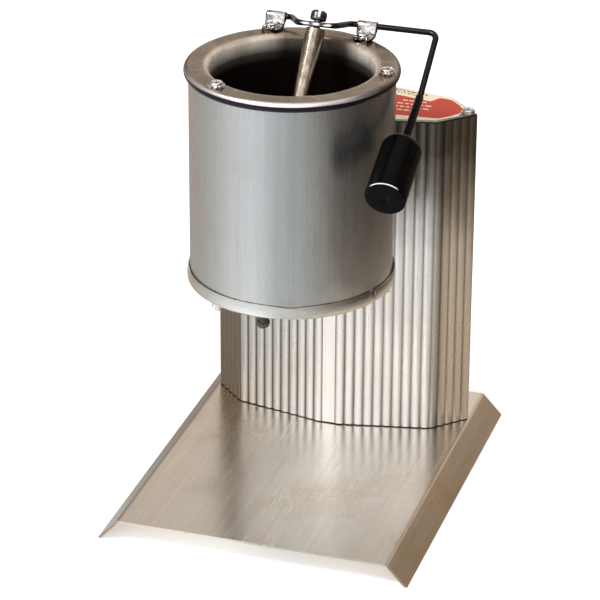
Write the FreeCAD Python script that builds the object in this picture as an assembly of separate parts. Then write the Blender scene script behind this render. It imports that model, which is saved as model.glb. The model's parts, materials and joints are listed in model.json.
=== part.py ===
import FreeCAD, Part
import math
import os

# Bottom-pour electric melting furnace for lead casting.  Millimetres, +Z up.
# Origin: centre of the footprint, on the bench.  +Y points to the back, +X to the lever side.

V = FreeCAD.Vector
X_AXIS = V(1, 0, 0)
Y_AXIS = V(0, 1, 0)
Z_AXIS = V(0, 0, 1)

# ---- overall ----
OVERALL_DEPTH = 257.0
FRONT_Y = -OVERALL_DEPTH / 2
REAR_Y = OVERALL_DEPTH / 2

# ---- base plate: folded sheet with two sloping side flanges ----
PLATE_WIDTH = 177.4
PLATE_DEPTH = 242.0
PLATE_TOP = 14.3
PLATE_SHEET = 1.5
FLANGE_OUT = 13.3

# ---- column: two ribbed aluminium half shells ----
COLUMN_Y = 74.3
COLUMN_TOP = 234.3
COLUMN_WALL = 1.8
STRIP_HALF = 4.475
FRONT_FACET = 63.4
FRONT_FACET_ANGLE = 12.0
FRONT_FACET_RIBS = 10
CORNER_FACET = 30.2
CORNER_FACET_ANGLE = 45.0
CORNER_FACET_RIBS = 5
RIB_RISE = 1.0
CHANNEL_X = 82.0
CHANNEL_RADIUS = 3.6
CHANNEL_BORE = 1.75
CAP_SHEET = 1.2
LABEL_SHEET = 0.3
LABEL_HALF_LENGTH = 77.5
LABEL_MARGIN = 1.6

# ---- pot ----
POT_Y = -44.4
POT_TOP = 303.1
BORE_RADIUS = 50.8
POT_SHEET = 1.2
MOUTH_ROUND = 4.0
RIM_RADIUS = 66.3
RIM_ROUND = 3.5
RIM_CURL_END = 45.0
POT_FLOOR = 173.2
FLOOR_ROUND = 5.0
SLEEVE_RADIUS = 63.54
SLEEVE_SHEET = 0.8
SLEEVE_BOTTOM = 163.5
SLEEVE_TOP = 301.7
PAN_RADIUS = 65.3
PAN_BOTTOM = 160.8
PAN_TOP = 169.7
PAN_SHEET = 1.2
PAN_ROUND = 2.5
PAN_SLIT_ANGLE = -21.0
PAN_SLIT_WIDTH = 1.8

# ---- heater and lagging between the pot and the sleeve ----
HEATER_GAP = 0.1
HEATER_SHEET = 3.2
HEATER_BOTTOM = 182.0
HEATER_TOP = 262.0
HEATER_SPLIT = 9.0
FLOOR_PAD_HOLE = 9.0
LAGGING_TOP = 294.0
LEAD_Z = 199.0
TERMINAL_RISE = 12.0
TERMINAL_ANGLE = 8.5
STUD_RADIUS = 1.6
CONDUIT_RADIUS = 3.2
CONDUIT_BORE = 2.3

# ---- fasteners ----
BOLT_CIRCLE = 59.5
TIE_BOLT_ANGLES = (-122.0, 2.0, 120.0)
CLIP_SCREW_ANGLE = 60.0
BOLT_RADIUS = 2.0
THREAD_GAP = 0.05
HOLE_GAP = 0.15
FIT_GAP = 0.1
HEAD_RADIUS = 4.0
HEAD_HEIGHT = 2.9
RECESS_DEPTH = 1.5
RECESS_WIDTH = 1.2
RECESS_LENGTH = 4.6
WASHER_RADIUS = 5.3
WASHER_SHEET = 0.7
WASHER_TEETH = 9
TOOTH_GAP = V(1.9, 1.5, 3.0)
NUT_ACROSS_FLATS = 7.0
NUT_HEIGHT = 3.0
CLIP_NUT_FLATS = 6.3

# ---- spout and valve ----
SPOUT = V(-6.5, -81.7, 0)
SPOUT_TIP = 140.0
SPOUT_TIP_RADIUS = 4.3
SPOUT_NECK_RADIUS = 3.6
SPOUT_SHOULDER = 149.0
SPOUT_SHOULDER_RADIUS = 5.4
SPOUT_SHOULDER_TOP = 156.8
SPOUT_RADIUS = 5.0
SPOUT_BORE = 1.8
SPOUT_COLLAR = 7.5
SPOUT_NUT_FLATS = 14.0
SPOUT_NUT_HEIGHT = 4.0
SEAT_TOP = 177.2
SEAT_RADIUS = 5.2
ROD_RADIUS = 6.0
ROD_ROUND = 1.2
SEAT_GAP = 0.05
ROD_HEAD_TOP = V(3.9, 0.1, 322.0)
SCREW_HEAD_RADIUS = 5.1
SCREW_HEAD_HEIGHT = 6.2
SCREW_DOME = 2.4
SCREW_SLOT_WIDTH = 1.6
SCREW_SLOT_DEPTH = 4.4
SCREW_SLOT_TURN = 17.0
NECK_RADIUS = 2.3
NECK_LENGTH = 5.0
THREAD_LENGTH = 14.0

# ---- lever ----
LEVER_Y = 17.6
LEVER_Z = 309.0
WIRE_RADIUS = 1.9
WIRE_BEND = 5.0
EYE_SHEET = 3.0
EYE_RADIUS = 5.6
EYE_HOLE = 3.8
EYE_TILT = 22.0
ARM_X = 74.3
ARM_ANGLE = 32.5
ARM_LENGTH = 46.2
SHANK_ANGLE = 22.1
SHANK_LENGTH = 92.6
ARM_SPLAY = 1.2
WIRE_LEFT_X = -36.2
CRANK_X = (-19.8, -9.0, 14.0, 19.2)
SHANK_RADIUS = 2.5
SHANK_SOCKET = 12.0
KNOB_LENGTH = 48.0
KNOB_RADIUS = 12.7
KNOB_ROUND = 7.5
KNOB_CHAMFER = 1.0
KNOB_SOCKET = 30.0

# ---- lever clips ----
CLIP_WIDTH = 12.4
CLIP_TOE = 4.8
CLIP_SHEET = 0.9
CLIP_GAP = 0.08
CLIP_LAYER_GAP = 0.06
CLIP_KNEE = 6.4

# ---- bracket between the pot and the column ----
BRACKET_SHEET = 1.5
BRACKET_HALF = 15.0
BRACKET_LUG_ANGLE = 26.0
BRACKET_SCREW_ANGLE = 19.5
BRACKET_BOTTOM = 170.0
BRACKET_TOP = 229.0
BRACKET_SCREW_Z = (180.0, 219.0)
SPACER_RADIUS = 4.3
SPACER_LENGTH = 2.5

# ---- heat control and wiring inside the column ----
DIAL_Z = 78.0
DIAL_PLATE_RADIUS = 25.0
DIAL_PLATE_SHEET = 0.8
DIAL_STANDOFF = 0.5
DIAL_SKIRT_RADIUS = 18.5
DIAL_SKIRT = 2.4
DIAL_GRIP_RADIUS = 14.5
DIAL_FLUTES = 14
DIAL_FLUTE_RADIUS = 1.6
DIAL_GAP = 0.6
DIAL_REST_ANGLE = 45.0
SHAFT_RADIUS = 3.0
BUSH_RADIUS = 4.5
BUSH_NUT_FLATS = 12.0
BUSH_NUT_HEIGHT = 2.2
SHOULDER_RADIUS = 7.5
SHOULDER_GAP = 0.75
THERMOSTAT_SIZE = V(36.0, 22.0, 44.0)
THERMOSTAT_STANDOFF = 4.0
KNOB_RECESS_RADIUS = 8.6
CORD_Z = 34.0
CORD_BORE = 3.6
CORD_BUSH_RADIUS = 5.4
CORD_FLANGE_RADIUS = 8.0
CORD_FLANGE = 2.2
BLOCK_Z = 135.0
BLOCK_SIZE = V(28.0, 12.0, 16.0)
BLOCK_STANDOFF = 3.0
BLOCK_SCREW_RADIUS = 1.5
LEAD_RADIUS = 0.9
LEAD_BEND = 3.0
LEAD_SPREAD = 1.2
LEAD_START_X = 8.6
LEAD_POCKET_Y = 13.2
LEAD_DROP_Y = 58.0


# ---------------------------------------------------------------- helpers

def polar(radius, degrees, z=0.0):
    """A point around the pot's axis."""
    angle = math.radians(degrees)
    return V(radius * math.cos(angle), POT_Y + radius * math.sin(angle), z)


def rod(radius, start, end):
    """A round bar from one point to another."""
    return Part.makeCylinder(radius, (end - start).Length, start, end - start)


def tube(outer, inner, start, end):
    return rod(outer, start, end).cut(rod(inner, start, end))


def pot_tube(outer, inner, bottom, top):
    """A ring about the pot's axis."""
    return tube(outer, inner, V(0, POT_Y, bottom), V(0, POT_Y, top))


def box(low, high):
    size = high - low
    return Part.makeBox(size.x, size.y, size.z, low)


def centred_box(size, centre):
    return Part.makeBox(size.x, size.y, size.z, centre - size * 0.5)


def line(start, end):
    return Part.LineSegment(start, end).toShape()


def arc(start, middle, end):
    return Part.Arc(start, middle, end).toShape()


def arc_about(centre, radius, first, last, across, up):
    """An arc given by its angles in the plane of the two unit vectors."""
    points = []
    for degrees in (first, (first + last) / 2, last):
        angle = math.radians(degrees)
        points.append(centre + across * (radius * math.cos(angle)) + up * (radius * math.sin(angle)))
    return arc(*points)


def strip(edges, thickness):
    """The flat face between an open line of edges and the same line offset to one side."""
    return Part.Face(Part.Wire(edges).makeOffset2D(thickness, 0, True, True).Wires[0])


def rounded_path(points, bend):
    """Straight runs joined by tangent arcs of one radius."""
    edges = []
    start = points[0]
    for before, corner, after in zip(points, points[1:], points[2:]):
        arriving = (corner - before).normalize()
        leaving = (after - corner).normalize()
        half_turn = math.acos(max(-1.0, min(1.0, arriving.dot(leaving)))) / 2
        setback = bend * math.tan(half_turn)
        inward = (leaving - arriving).normalize()
        centre = corner + inward * (bend / math.cos(half_turn))
        edges.append(line(start, corner - arriving * setback))
        edges.append(arc(corner - arriving * setback, centre - inward * bend, corner + leaving * setback))
        start = corner + leaving * setback
    edges.append(line(start, points[-1]))
    return edges


def bent_wire(points, bend, radius):
    """A round wire along straight runs with rounded corners."""
    path = Part.Wire(rounded_path(points, bend))
    profile = Part.Wire(Part.Circle(points[0], points[1] - points[0], radius).toShape())
    return path.makePipeShell([profile], True, False)


def aligned(shape, direction, origin):
    """A shape drawn along +Z, turned to point along a direction and moved to its place."""
    placed = shape.copy()
    placed.Placement = FreeCAD.Placement(origin, FreeCAD.Rotation(Z_AXIS, direction))
    return placed


def hexagon(across_flats, height):
    corners = []
    for side in range(7):
        angle = math.radians(60 * side)
        corner_radius = across_flats / 2 / math.cos(math.pi / 6)
        corners.append(V(corner_radius * math.cos(angle), corner_radius * math.sin(angle), 0))
    return Part.Face(Part.makePolygon(corners)).extrude(V(0, 0, height))


def pan_head(radius=HEAD_RADIUS, height=HEAD_HEIGHT):
    """A domed head with a cross recess, seated on z = 0."""
    head = Part.makeCylinder(radius, height)
    head = head.makeFillet(height * 0.6, [head.Edges[0]])
    for size in ((RECESS_LENGTH, RECESS_WIDTH), (RECESS_WIDTH, RECESS_LENGTH)):
        cross = V(size[0], size[1], 2 * RECESS_DEPTH)
        head = head.cut(centred_box(cross, V(0, 0, height)))
    return head


def pan_screw(length, radius=BOLT_RADIUS):
    """A pan-head screw along -Z with its head seated on z = 0."""
    return pan_head().fuse(Part.makeCylinder(radius, length, V(0, 0, -length)))


def tooth_washer():
    """A toothed lock washer lying on z = 0, with bevelled teeth around its edge."""
    washer = Part.makeCylinder(WASHER_RADIUS, WASHER_SHEET)
    gap = centred_box(TOOTH_GAP, V(WASHER_RADIUS, 0, 0))
    for tooth in range(WASHER_TEETH):
        notch = gap.copy()
        notch.rotate(V(), Z_AXIS, 360.0 / WASHER_TEETH * tooth)
        washer = washer.cut(notch)
    return washer.cut(Part.makeCylinder(BOLT_RADIUS + THREAD_GAP, WASHER_SHEET))


def nut(across_flats=NUT_ACROSS_FLATS, height=NUT_HEIGHT, bore=BOLT_RADIUS):
    return hexagon(across_flats, height).cut(Part.makeCylinder(bore + THREAD_GAP, height))


def group(shapes):
    return Part.makeCompound(shapes)


# ---------------------------------------------------------------- column outline

FACET_ALONG = (
    (FRONT_FACET, FRONT_FACET_ANGLE, FRONT_FACET_RIBS),
    (CORNER_FACET, CORNER_FACET_ANGLE, CORNER_FACET_RIBS),
)
FACET_RISE = sum(length * math.sin(math.radians(angle)) for length, angle, ribs in FACET_ALONG)
COLUMN_FRONT_Y = COLUMN_Y - FACET_RISE
COLUMN_REAR_Y = COLUMN_Y + FACET_RISE
INNER_FRONT_Y = COLUMN_FRONT_Y + COLUMN_WALL
INNER_REAR_Y = COLUMN_REAR_Y - COLUMN_WALL


def column_corners():
    """The eight plain corners and two strip ends of the column, from the front strip round."""
    x = STRIP_HALF
    y = COLUMN_FRONT_Y
    quarter = [V(x, y, 0)]
    for length, angle, ribs in FACET_ALONG:
        x += length * math.cos(math.radians(angle))
        y += length * math.sin(math.radians(angle))
        quarter.append(V(x, y, 0))
    right = quarter + [V(p.x, 2 * COLUMN_Y - p.y, 0) for p in reversed(quarter[:-1])]
    return right + [V(-p.x, p.y, 0) for p in reversed(right)]


def ribbed_edges():
    """The column's outline: a smooth strip front and back, ribs on every facet."""
    corners = column_corners()
    centre = V(0, COLUMN_Y, 0)
    edges = []
    for start, end in zip(corners, corners[1:] + corners[:1]):
        along = end - start
        outward = V(along.y, -along.x, 0).normalize()
        if outward.dot(start + along * 0.5 - centre) < 0:
            outward = outward * -1
        ribs = 1
        for length, angle, count in FACET_ALONG:
            if abs(along.Length - length) < 0.01:
                ribs = count
        if ribs == 1:
            edges.append(line(start, end))
            continue
        for rib in range(ribs):
            foot = start + along * (rib / ribs)
            next_foot = start + along * ((rib + 1) / ribs)
            edges.append(arc(foot, (foot + next_foot) * 0.5 + outward * RIB_RISE, next_foot))
    return edges


def column_section(inset):
    """The plain outline moved inwards, as a face on z = 0."""
    corners = column_corners()
    outline = Part.makePolygon(corners + corners[:1])
    return Part.Face(outline.makeOffset2D(-inset, 2))


def column_holes():
    """Holes through the column's front and rear strips."""
    front = V(0, COLUMN_FRONT_Y - 5, 0)
    rear = V(0, COLUMN_REAR_Y + 5, 0)
    holes = [rod(CONDUIT_RADIUS, front + V(0, 0, LEAD_Z), front + V(0, 10, LEAD_Z))]
    for z in BRACKET_SCREW_Z:
        holes.append(rod(BOLT_RADIUS + THREAD_GAP, front + V(0, 0, z), front + V(0, 10, z)))
    holes.append(rod(BUSH_RADIUS + FIT_GAP, rear + V(0, 0, DIAL_Z), rear + V(0, -10, DIAL_Z)))
    holes.append(rod(CORD_BUSH_RADIUS + FIT_GAP, rear + V(0, 0, CORD_Z), rear + V(0, -10, CORD_Z)))
    holes.append(rod(BLOCK_SCREW_RADIUS + THREAD_GAP, rear + V(0, 0, BLOCK_Z), rear + V(0, -10, BLOCK_Z)))
    return group(holes)


def column_shells():
    """Two half shells that meet at the side corners, each with one screw channel."""
    height = V(0, 0, COLUMN_TOP - PLATE_TOP)
    outer = Part.Face(Part.Wire(ribbed_edges()))
    ring = outer.cut(column_section(COLUMN_WALL)).extrude(height)
    ring.translate(V(0, 0, PLATE_TOP))
    inside = column_section(COLUMN_WALL).extrude(height)
    inside.translate(V(0, 0, PLATE_TOP))
    ring = ring.cut(column_holes())
    halves = []
    for side in (1, -1):
        reach = V(200, 0, 0)
        seam = V(0, COLUMN_Y, 0)
        low = seam - reach + V(0, -200 if side > 0 else 0, 0)
        high = seam + reach + V(0, 0 if side > 0 else 200, 300)
        half = ring.common(box(low, high))
        bottom = V(side * CHANNEL_X, COLUMN_Y, PLATE_TOP)
        other = V(-side * CHANNEL_X, COLUMN_Y, PLATE_TOP)
        channel = rod(CHANNEL_RADIUS, bottom, bottom + height).common(inside)
        outward = -8 if side > 0 else 8
        web = box(bottom + V(-1, min(outward, 0), 0), bottom + V(1, max(outward, 0), 0) + height)
        half = half.fuse(channel).fuse(web.common(inside))
        half = half.cut(rod(CHANNEL_BORE, bottom, bottom + height))
        half = half.cut(rod(CHANNEL_RADIUS + FIT_GAP, other, other + height))
        halves.append(half.removeSplitter())
    return halves


# ---------------------------------------------------------------- base and column

def base_plate():
    half = PLATE_WIDTH / 2
    run = V(0, PLATE_DEPTH, 0)
    slope = math.atan2(PLATE_TOP, FLANGE_OUT)
    inset = PLATE_SHEET * math.tan(slope / 2)
    foot = PLATE_SHEET / math.sin(slope)
    under = PLATE_TOP - PLATE_SHEET
    outline = [
        V(-half - FLANGE_OUT, FRONT_Y, 0), V(-half, FRONT_Y, PLATE_TOP), V(half, FRONT_Y, PLATE_TOP),
        V(half + FLANGE_OUT, FRONT_Y, 0), V(half + FLANGE_OUT - foot, FRONT_Y, 0),
        V(half - inset, FRONT_Y, under), V(-half + inset, FRONT_Y, under),
        V(-half - FLANGE_OUT + foot, FRONT_Y, 0),
    ]
    plate = Part.Face(Part.makePolygon(outline + outline[:1])).extrude(run)
    for side in (1, -1):
        centre = V(side * CHANNEL_X, COLUMN_Y, 0)
        plate = plate.cut(rod(BOLT_RADIUS + 2 * FIT_GAP, centre, centre + V(0, 0, 20)))
    return plate


def cap_plate():
    cap = column_section(0.4).extrude(V(0, 0, CAP_SHEET))
    cap.translate(V(0, 0, COLUMN_TOP))
    for side in (1, -1):
        centre = V(side * CHANNEL_X, COLUMN_Y, COLUMN_TOP)
        cap = cap.cut(rod(BOLT_RADIUS + FIT_GAP, centre, centre + V(0, 0, CAP_SHEET)))
    return cap


def label():
    """A printed plate that stops short of the two cap screws."""
    top = COLUMN_TOP + CAP_SHEET
    plate = column_section(LABEL_MARGIN).extrude(V(0, 0, LABEL_SHEET))
    plate.translate(V(0, 0, top))
    return plate.common(box(V(-LABEL_HALF_LENGTH, -200, top - 1), V(LABEL_HALF_LENGTH, 200, top + 2)))


def channel_screws(seat_z, up):
    """Self-tapping screws in the two channels, from above or from below."""
    screws = []
    for side in (1, -1):
        screw = pan_head().fuse(Part.makeCylinder(CHANNEL_BORE - THREAD_GAP, 14.0, V(0, 0, -14.0)))
        screws.append(aligned(screw, Z_AXIS * up, V(side * CHANNEL_X, COLUMN_Y, seat_z)))
    return group(screws)


# ---------------------------------------------------------------- pot

def radial_edges(points_and_arcs):
    """Lines and arcs in the half plane through the pot's axis, given as (radius, z) pairs."""
    edges = []
    for piece in points_and_arcs:
        corners = [V(r, POT_Y, z) for r, z in piece]
        edges.append(line(*corners) if len(corners) == 2 else arc(*corners))
    return edges


def spun(face):
    return face.revolve(V(0, POT_Y, 0), Z_AXIS, 360)


def diagonal(centre, radius, degrees):
    angle = math.radians(degrees)
    return (centre[0] + radius * math.cos(angle), centre[1] + radius * math.sin(angle))


def bolt_hole(gap, degrees, bottom, top):
    """A clearance hole on the bolt circle."""
    return rod(BOLT_RADIUS + gap, polar(BOLT_CIRCLE, degrees, bottom), polar(BOLT_CIRCLE, degrees, top))


def crucible():
    """A deep drawn pot whose mouth rolls out into a flat flange with a curled edge."""
    floor_centre = (BORE_RADIUS - FLOOR_ROUND, POT_FLOOR + FLOOR_ROUND)
    mouth_centre = (BORE_RADIUS + MOUTH_ROUND, POT_TOP - MOUTH_ROUND)
    rim_centre = (RIM_RADIUS - RIM_ROUND, POT_TOP - RIM_ROUND)
    inner_curl = RIM_ROUND - POT_SHEET
    outer_floor = FLOOR_ROUND + POT_SHEET
    inner_mouth = MOUTH_ROUND - POT_SHEET
    end = -RIM_CURL_END
    half_end = (90 + end) / 2
    under = POT_TOP - POT_SHEET
    below = POT_FLOOR - POT_SHEET
    wall = BORE_RADIUS + POT_SHEET
    profile = [
        ((0, POT_FLOOR), (floor_centre[0], POT_FLOOR)),
        ((floor_centre[0], POT_FLOOR), diagonal(floor_centre, FLOOR_ROUND, -45), (BORE_RADIUS, floor_centre[1])),
        ((BORE_RADIUS, floor_centre[1]), (BORE_RADIUS, mouth_centre[1])),
        ((BORE_RADIUS, mouth_centre[1]), diagonal(mouth_centre, MOUTH_ROUND, 135), (mouth_centre[0], POT_TOP)),
        ((mouth_centre[0], POT_TOP), (rim_centre[0], POT_TOP)),
        ((rim_centre[0], POT_TOP), diagonal(rim_centre, RIM_ROUND, half_end), diagonal(rim_centre, RIM_ROUND, end)),
        (diagonal(rim_centre, RIM_ROUND, end), diagonal(rim_centre, inner_curl, end)),
        (diagonal(rim_centre, inner_curl, end), diagonal(rim_centre, inner_curl, half_end), (rim_centre[0], under)),
        ((rim_centre[0], under), (mouth_centre[0], under)),
        ((mouth_centre[0], under), diagonal(mouth_centre, inner_mouth, 135), (wall, mouth_centre[1])),
        ((wall, mouth_centre[1]), (wall, floor_centre[1])),
        ((wall, floor_centre[1]), diagonal(floor_centre, outer_floor, -45), (floor_centre[0], below)),
        ((floor_centre[0], below), (0, below)),
        ((0, below), (0, POT_FLOOR)),
    ]
    pot = spun(Part.Face(Part.Wire(radial_edges(profile))))
    for degrees in TIE_BOLT_ANGLES + (CLIP_SCREW_ANGLE,):
        pot = pot.cut(bolt_hole(HOLE_GAP, degrees, under - 2, POT_TOP + 2))
    spout_hole = SPOUT + V(0, 0, below - 2)
    return pot.cut(rod(SPOUT_RADIUS + THREAD_GAP, spout_hole, spout_hole + V(0, 0, 6)))


def bottom_pan():
    """A shallow dish that closes the sleeve, with a slit in its lip."""
    centre = (PAN_RADIUS - PAN_ROUND, PAN_BOTTOM + PAN_ROUND)
    inner_round = PAN_ROUND - PAN_SHEET
    inner = PAN_RADIUS - PAN_SHEET
    floor = PAN_BOTTOM + PAN_SHEET
    profile = [
        ((0, PAN_BOTTOM), (centre[0], PAN_BOTTOM)),
        ((centre[0], PAN_BOTTOM), diagonal(centre, PAN_ROUND, -45), (PAN_RADIUS, centre[1])),
        ((PAN_RADIUS, centre[1]), (PAN_RADIUS, PAN_TOP)),
        ((PAN_RADIUS, PAN_TOP), (inner, PAN_TOP)),
        ((inner, PAN_TOP), (inner, centre[1])),
        ((inner, centre[1]), diagonal(centre, inner_round, -45), (centre[0], floor)),
        ((centre[0], floor), (0, floor)),
        ((0, floor), (0, PAN_BOTTOM)),
    ]
    pan = spun(Part.Face(Part.Wire(radial_edges(profile))))
    slit = centred_box(V(8, PAN_SLIT_WIDTH, 6.0), V(PAN_RADIUS, 0, PAN_TOP - 2.4))
    slit.rotate(V(), Z_AXIS, PAN_SLIT_ANGLE)
    slit.translate(V(0, POT_Y, 0))
    pan = pan.cut(slit)
    for degrees in TIE_BOLT_ANGLES:
        pan = pan.cut(bolt_hole(HOLE_GAP, degrees, PAN_BOTTOM - 5, PAN_TOP))
    return pan.cut(rod(SPOUT_RADIUS + 1.5, SPOUT + V(0, 0, 150), SPOUT + V(0, 0, 166)))


def bracket_bolt_line(side, z):
    """Where a lug bolt starts outside the sleeve, and the direction it goes in."""
    degrees = 90 + side * BRACKET_SCREW_ANGLE
    seat = polar(SLEEVE_RADIUS + BRACKET_SHEET, degrees, z)
    return seat, polar(1, degrees) - polar(0, degrees)


def lug_holes(clearance):
    holes = []
    for side in (1, -1):
        for z in BRACKET_SCREW_Z:
            seat, outward = bracket_bolt_line(side, z)
            holes.append(rod(BOLT_RADIUS + clearance, seat + outward * 4, seat - outward * 6))
    return group(holes)


def sleeve():
    shell = pot_tube(SLEEVE_RADIUS, SLEEVE_RADIUS - SLEEVE_SHEET, SLEEVE_BOTTOM, SLEEVE_TOP)
    shell = shell.cut(lug_holes(HOLE_GAP))
    return shell.cut(rod(CONDUIT_RADIUS, V(0, 0, LEAD_Z), V(0, 40, LEAD_Z)))


def heating_band():
    """A split mica band heater clasping the lower part of the pot."""
    inner = BORE_RADIUS + POT_SHEET + HEATER_GAP
    band = pot_tube(inner + HEATER_SHEET, inner, HEATER_BOTTOM, HEATER_TOP)
    return band.cut(box(V(-HEATER_SPLIT / 2, 0, 100), V(HEATER_SPLIT / 2, 40, 300)))


def heater_terminals():
    """Two studs on the heater band, one each side of its split."""
    outer = BORE_RADIUS + POT_SHEET + HEATER_GAP + HEATER_SHEET
    studs = []
    for side in (1, -1):
        foot = polar(outer, 90 - side * TERMINAL_ANGLE, LEAD_Z + TERMINAL_RISE)
        outward = polar(1, 90 - side * TERMINAL_ANGLE) - polar(0, 0)
        stud = rod(STUD_RADIUS, foot - outward * 0.5, foot + outward * 5.0)
        stud = stud.fuse(rod(2.6, foot - outward * 0.5, foot + outward * 1.6))
        studs.append(stud.cut(pot_tube(outer, outer - 2, HEATER_BOTTOM, HEATER_TOP)))
    return group(studs)


def lagging():
    """Mineral-fibre wrap that fills the space between the heater and the sleeve."""
    inner = BORE_RADIUS + POT_SHEET + HEATER_GAP + HEATER_SHEET + FIT_GAP
    wrap = pot_tube(SLEEVE_RADIUS - SLEEVE_SHEET - FIT_GAP, inner, POT_FLOOR, LAGGING_TOP)
    wrap = wrap.cut(box(V(-14, 0, LEAD_Z - 6), V(14, 40, LEAD_Z + 20)))
    for degrees in TIE_BOLT_ANGLES:
        wrap = wrap.cut(bolt_hole(2 * HOLE_GAP, degrees, PAN_BOTTOM, POT_TOP))
    for side in (1, -1):
        for z in BRACKET_SCREW_Z:
            seat, outward = bracket_bolt_line(side, z)
            wrap = wrap.cut(rod(NUT_ACROSS_FLATS / 2 + 1.1, seat, seat - outward * 9))
    return wrap


def floor_pad():
    """Insulating disc between the pan and the pot's floor."""
    bottom = PAN_BOTTOM + PAN_SHEET
    top = POT_FLOOR - POT_SHEET - 2 * FIT_GAP
    pad = rod(SLEEVE_RADIUS - SLEEVE_SHEET - 2 * FIT_GAP, V(0, POT_Y, bottom), V(0, POT_Y, top))
    pad = pad.cut(rod(FLOOR_PAD_HOLE, SPOUT + V(0, 0, bottom - 1), SPOUT + V(0, 0, top + 1)))
    for degrees in TIE_BOLT_ANGLES:
        pad = pad.cut(bolt_hole(2 * HOLE_GAP, degrees, bottom - 1, top + 1))
    return pad


def rim_seat(degrees):
    """Height of the face that a rim screw's washer lies on."""
    under_clip = degrees in (CLIP_SCREW_ANGLE, 180 - CLIP_SCREW_ANGLE)
    return POT_TOP + (2 * CLIP_SHEET + CLIP_LAYER_GAP if under_clip else 0.0)


def rim_washers():
    washers = []
    for degrees in TIE_BOLT_ANGLES + (CLIP_SCREW_ANGLE,):
        washers.append(aligned(tooth_washer(), Z_AXIS, polar(BOLT_CIRCLE, degrees, rim_seat(degrees))))
    return group(washers)


def tie_bolts():
    """Long bolts from the rim down past the pot and through the pan."""
    bolts = []
    for degrees in TIE_BOLT_ANGLES:
        seat = rim_seat(degrees) + WASHER_SHEET
        length = seat - PAN_BOTTOM + NUT_HEIGHT + 2.5
        bolts.append(aligned(pan_screw(length), Z_AXIS, polar(BOLT_CIRCLE, degrees, seat)))
    return group(bolts)


def tie_bolt_nuts():
    nuts = []
    for degrees in TIE_BOLT_ANGLES:
        nuts.append(aligned(nut(), Z_AXIS, polar(BOLT_CIRCLE, degrees, PAN_BOTTOM - NUT_HEIGHT)))
    return group(nuts)


def clip_screw():
    seat = rim_seat(CLIP_SCREW_ANGLE) + WASHER_SHEET
    return aligned(pan_screw(9.0), Z_AXIS, polar(BOLT_CIRCLE, CLIP_SCREW_ANGLE, seat))


def clip_nut():
    """A small-pattern nut, its flats turned to clear the sleeve."""
    turned = nut(CLIP_NUT_FLATS)
    turned.rotate(V(), Z_AXIS, 30)
    turned.translate(polar(BOLT_CIRCLE, CLIP_SCREW_ANGLE, POT_TOP - POT_SHEET - NUT_HEIGHT))
    return turned


# ---------------------------------------------------------------- spout and valve

BALL = SPOUT + V(0, 0, SEAT_TOP - SEAT_RADIUS + (ROD_RADIUS + SEAT_GAP) * math.sqrt(2))
ROD_UP = (ROD_HEAD_TOP - BALL).normalize()
ROD_SHOULDER = ROD_HEAD_TOP - ROD_UP * (SCREW_HEAD_HEIGHT + NECK_LENGTH)
EYE_CENTRE = ROD_HEAD_TOP - ROD_UP * (SCREW_HEAD_HEIGHT + NECK_LENGTH / 2)


def pour_spout():
    """A turned nozzle: conical valve seat, threaded body, shoulder, neck and ball-shaped tip."""
    ball = SPOUT + V(0, 0, SPOUT_TIP + SPOUT_TIP_RADIUS)
    body = rod(SPOUT_RADIUS, SPOUT + V(0, 0, SPOUT_SHOULDER), SPOUT + V(0, 0, POT_FLOOR))
    shoulder = SPOUT + V(0, 0, SPOUT_SHOULDER)
    body = body.fuse(rod(SPOUT_SHOULDER_RADIUS, shoulder, SPOUT + V(0, 0, SPOUT_SHOULDER_TOP)))
    body = body.fuse(rod(SPOUT_NECK_RADIUS, ball, shoulder))
    body = body.fuse(Part.makeSphere(SPOUT_TIP_RADIUS, ball))
    body = body.fuse(rod(SPOUT_COLLAR, SPOUT + V(0, 0, POT_FLOOR), SPOUT + V(0, 0, SEAT_TOP)))
    body = body.cut(rod(SPOUT_BORE, SPOUT + V(0, 0, SPOUT_TIP - 5), SPOUT + V(0, 0, SEAT_TOP + 5)))
    apex = SPOUT + V(0, 0, SEAT_TOP - SEAT_RADIUS)
    return body.cut(Part.makeCone(0, SEAT_RADIUS, SEAT_RADIUS, apex, Z_AXIS)).removeSplitter()


def spout_nut():
    locknut = nut(SPOUT_NUT_FLATS, SPOUT_NUT_HEIGHT, SPOUT_RADIUS)
    return aligned(locknut, Z_AXIS, SPOUT + V(0, 0, POT_FLOOR - POT_SHEET - SPOUT_NUT_HEIGHT))


def valve_rod():
    """A straight bar with a ball end on the seat and a tapped hole in its rounded top."""
    bar = rod(ROD_RADIUS, BALL, ROD_SHOULDER)
    bar = bar.makeFillet(ROD_ROUND, [bar.Edges[0]])
    bar = bar.fuse(Part.makeSphere(ROD_RADIUS, BALL))
    return bar.cut(rod(NECK_RADIUS + THREAD_GAP, ROD_SHOULDER - ROD_UP * (THREAD_LENGTH + 2), ROD_SHOULDER))


def flow_screw():
    """The slotted adjusting screw whose head traps the lever's eye."""
    total = SCREW_HEAD_HEIGHT + NECK_LENGTH + THREAD_LENGTH
    screw = Part.makeCylinder(SCREW_HEAD_RADIUS, SCREW_HEAD_HEIGHT, V(0, 0, -SCREW_HEAD_HEIGHT))
    screw = screw.makeFillet(SCREW_DOME, [screw.Edges[0]])
    screw = screw.fuse(Part.makeCylinder(NECK_RADIUS, total - 1, V(0, 0, -total)))
    slot = centred_box(V(SCREW_SLOT_WIDTH, 3 * SCREW_HEAD_RADIUS, 2 * SCREW_SLOT_DEPTH), V())
    slot.rotate(V(), Z_AXIS, SCREW_SLOT_TURN)
    screw = screw.cut(slot)
    return aligned(screw.removeSplitter(), ROD_UP, ROD_HEAD_TOP)


# ---------------------------------------------------------------- lever

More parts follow.
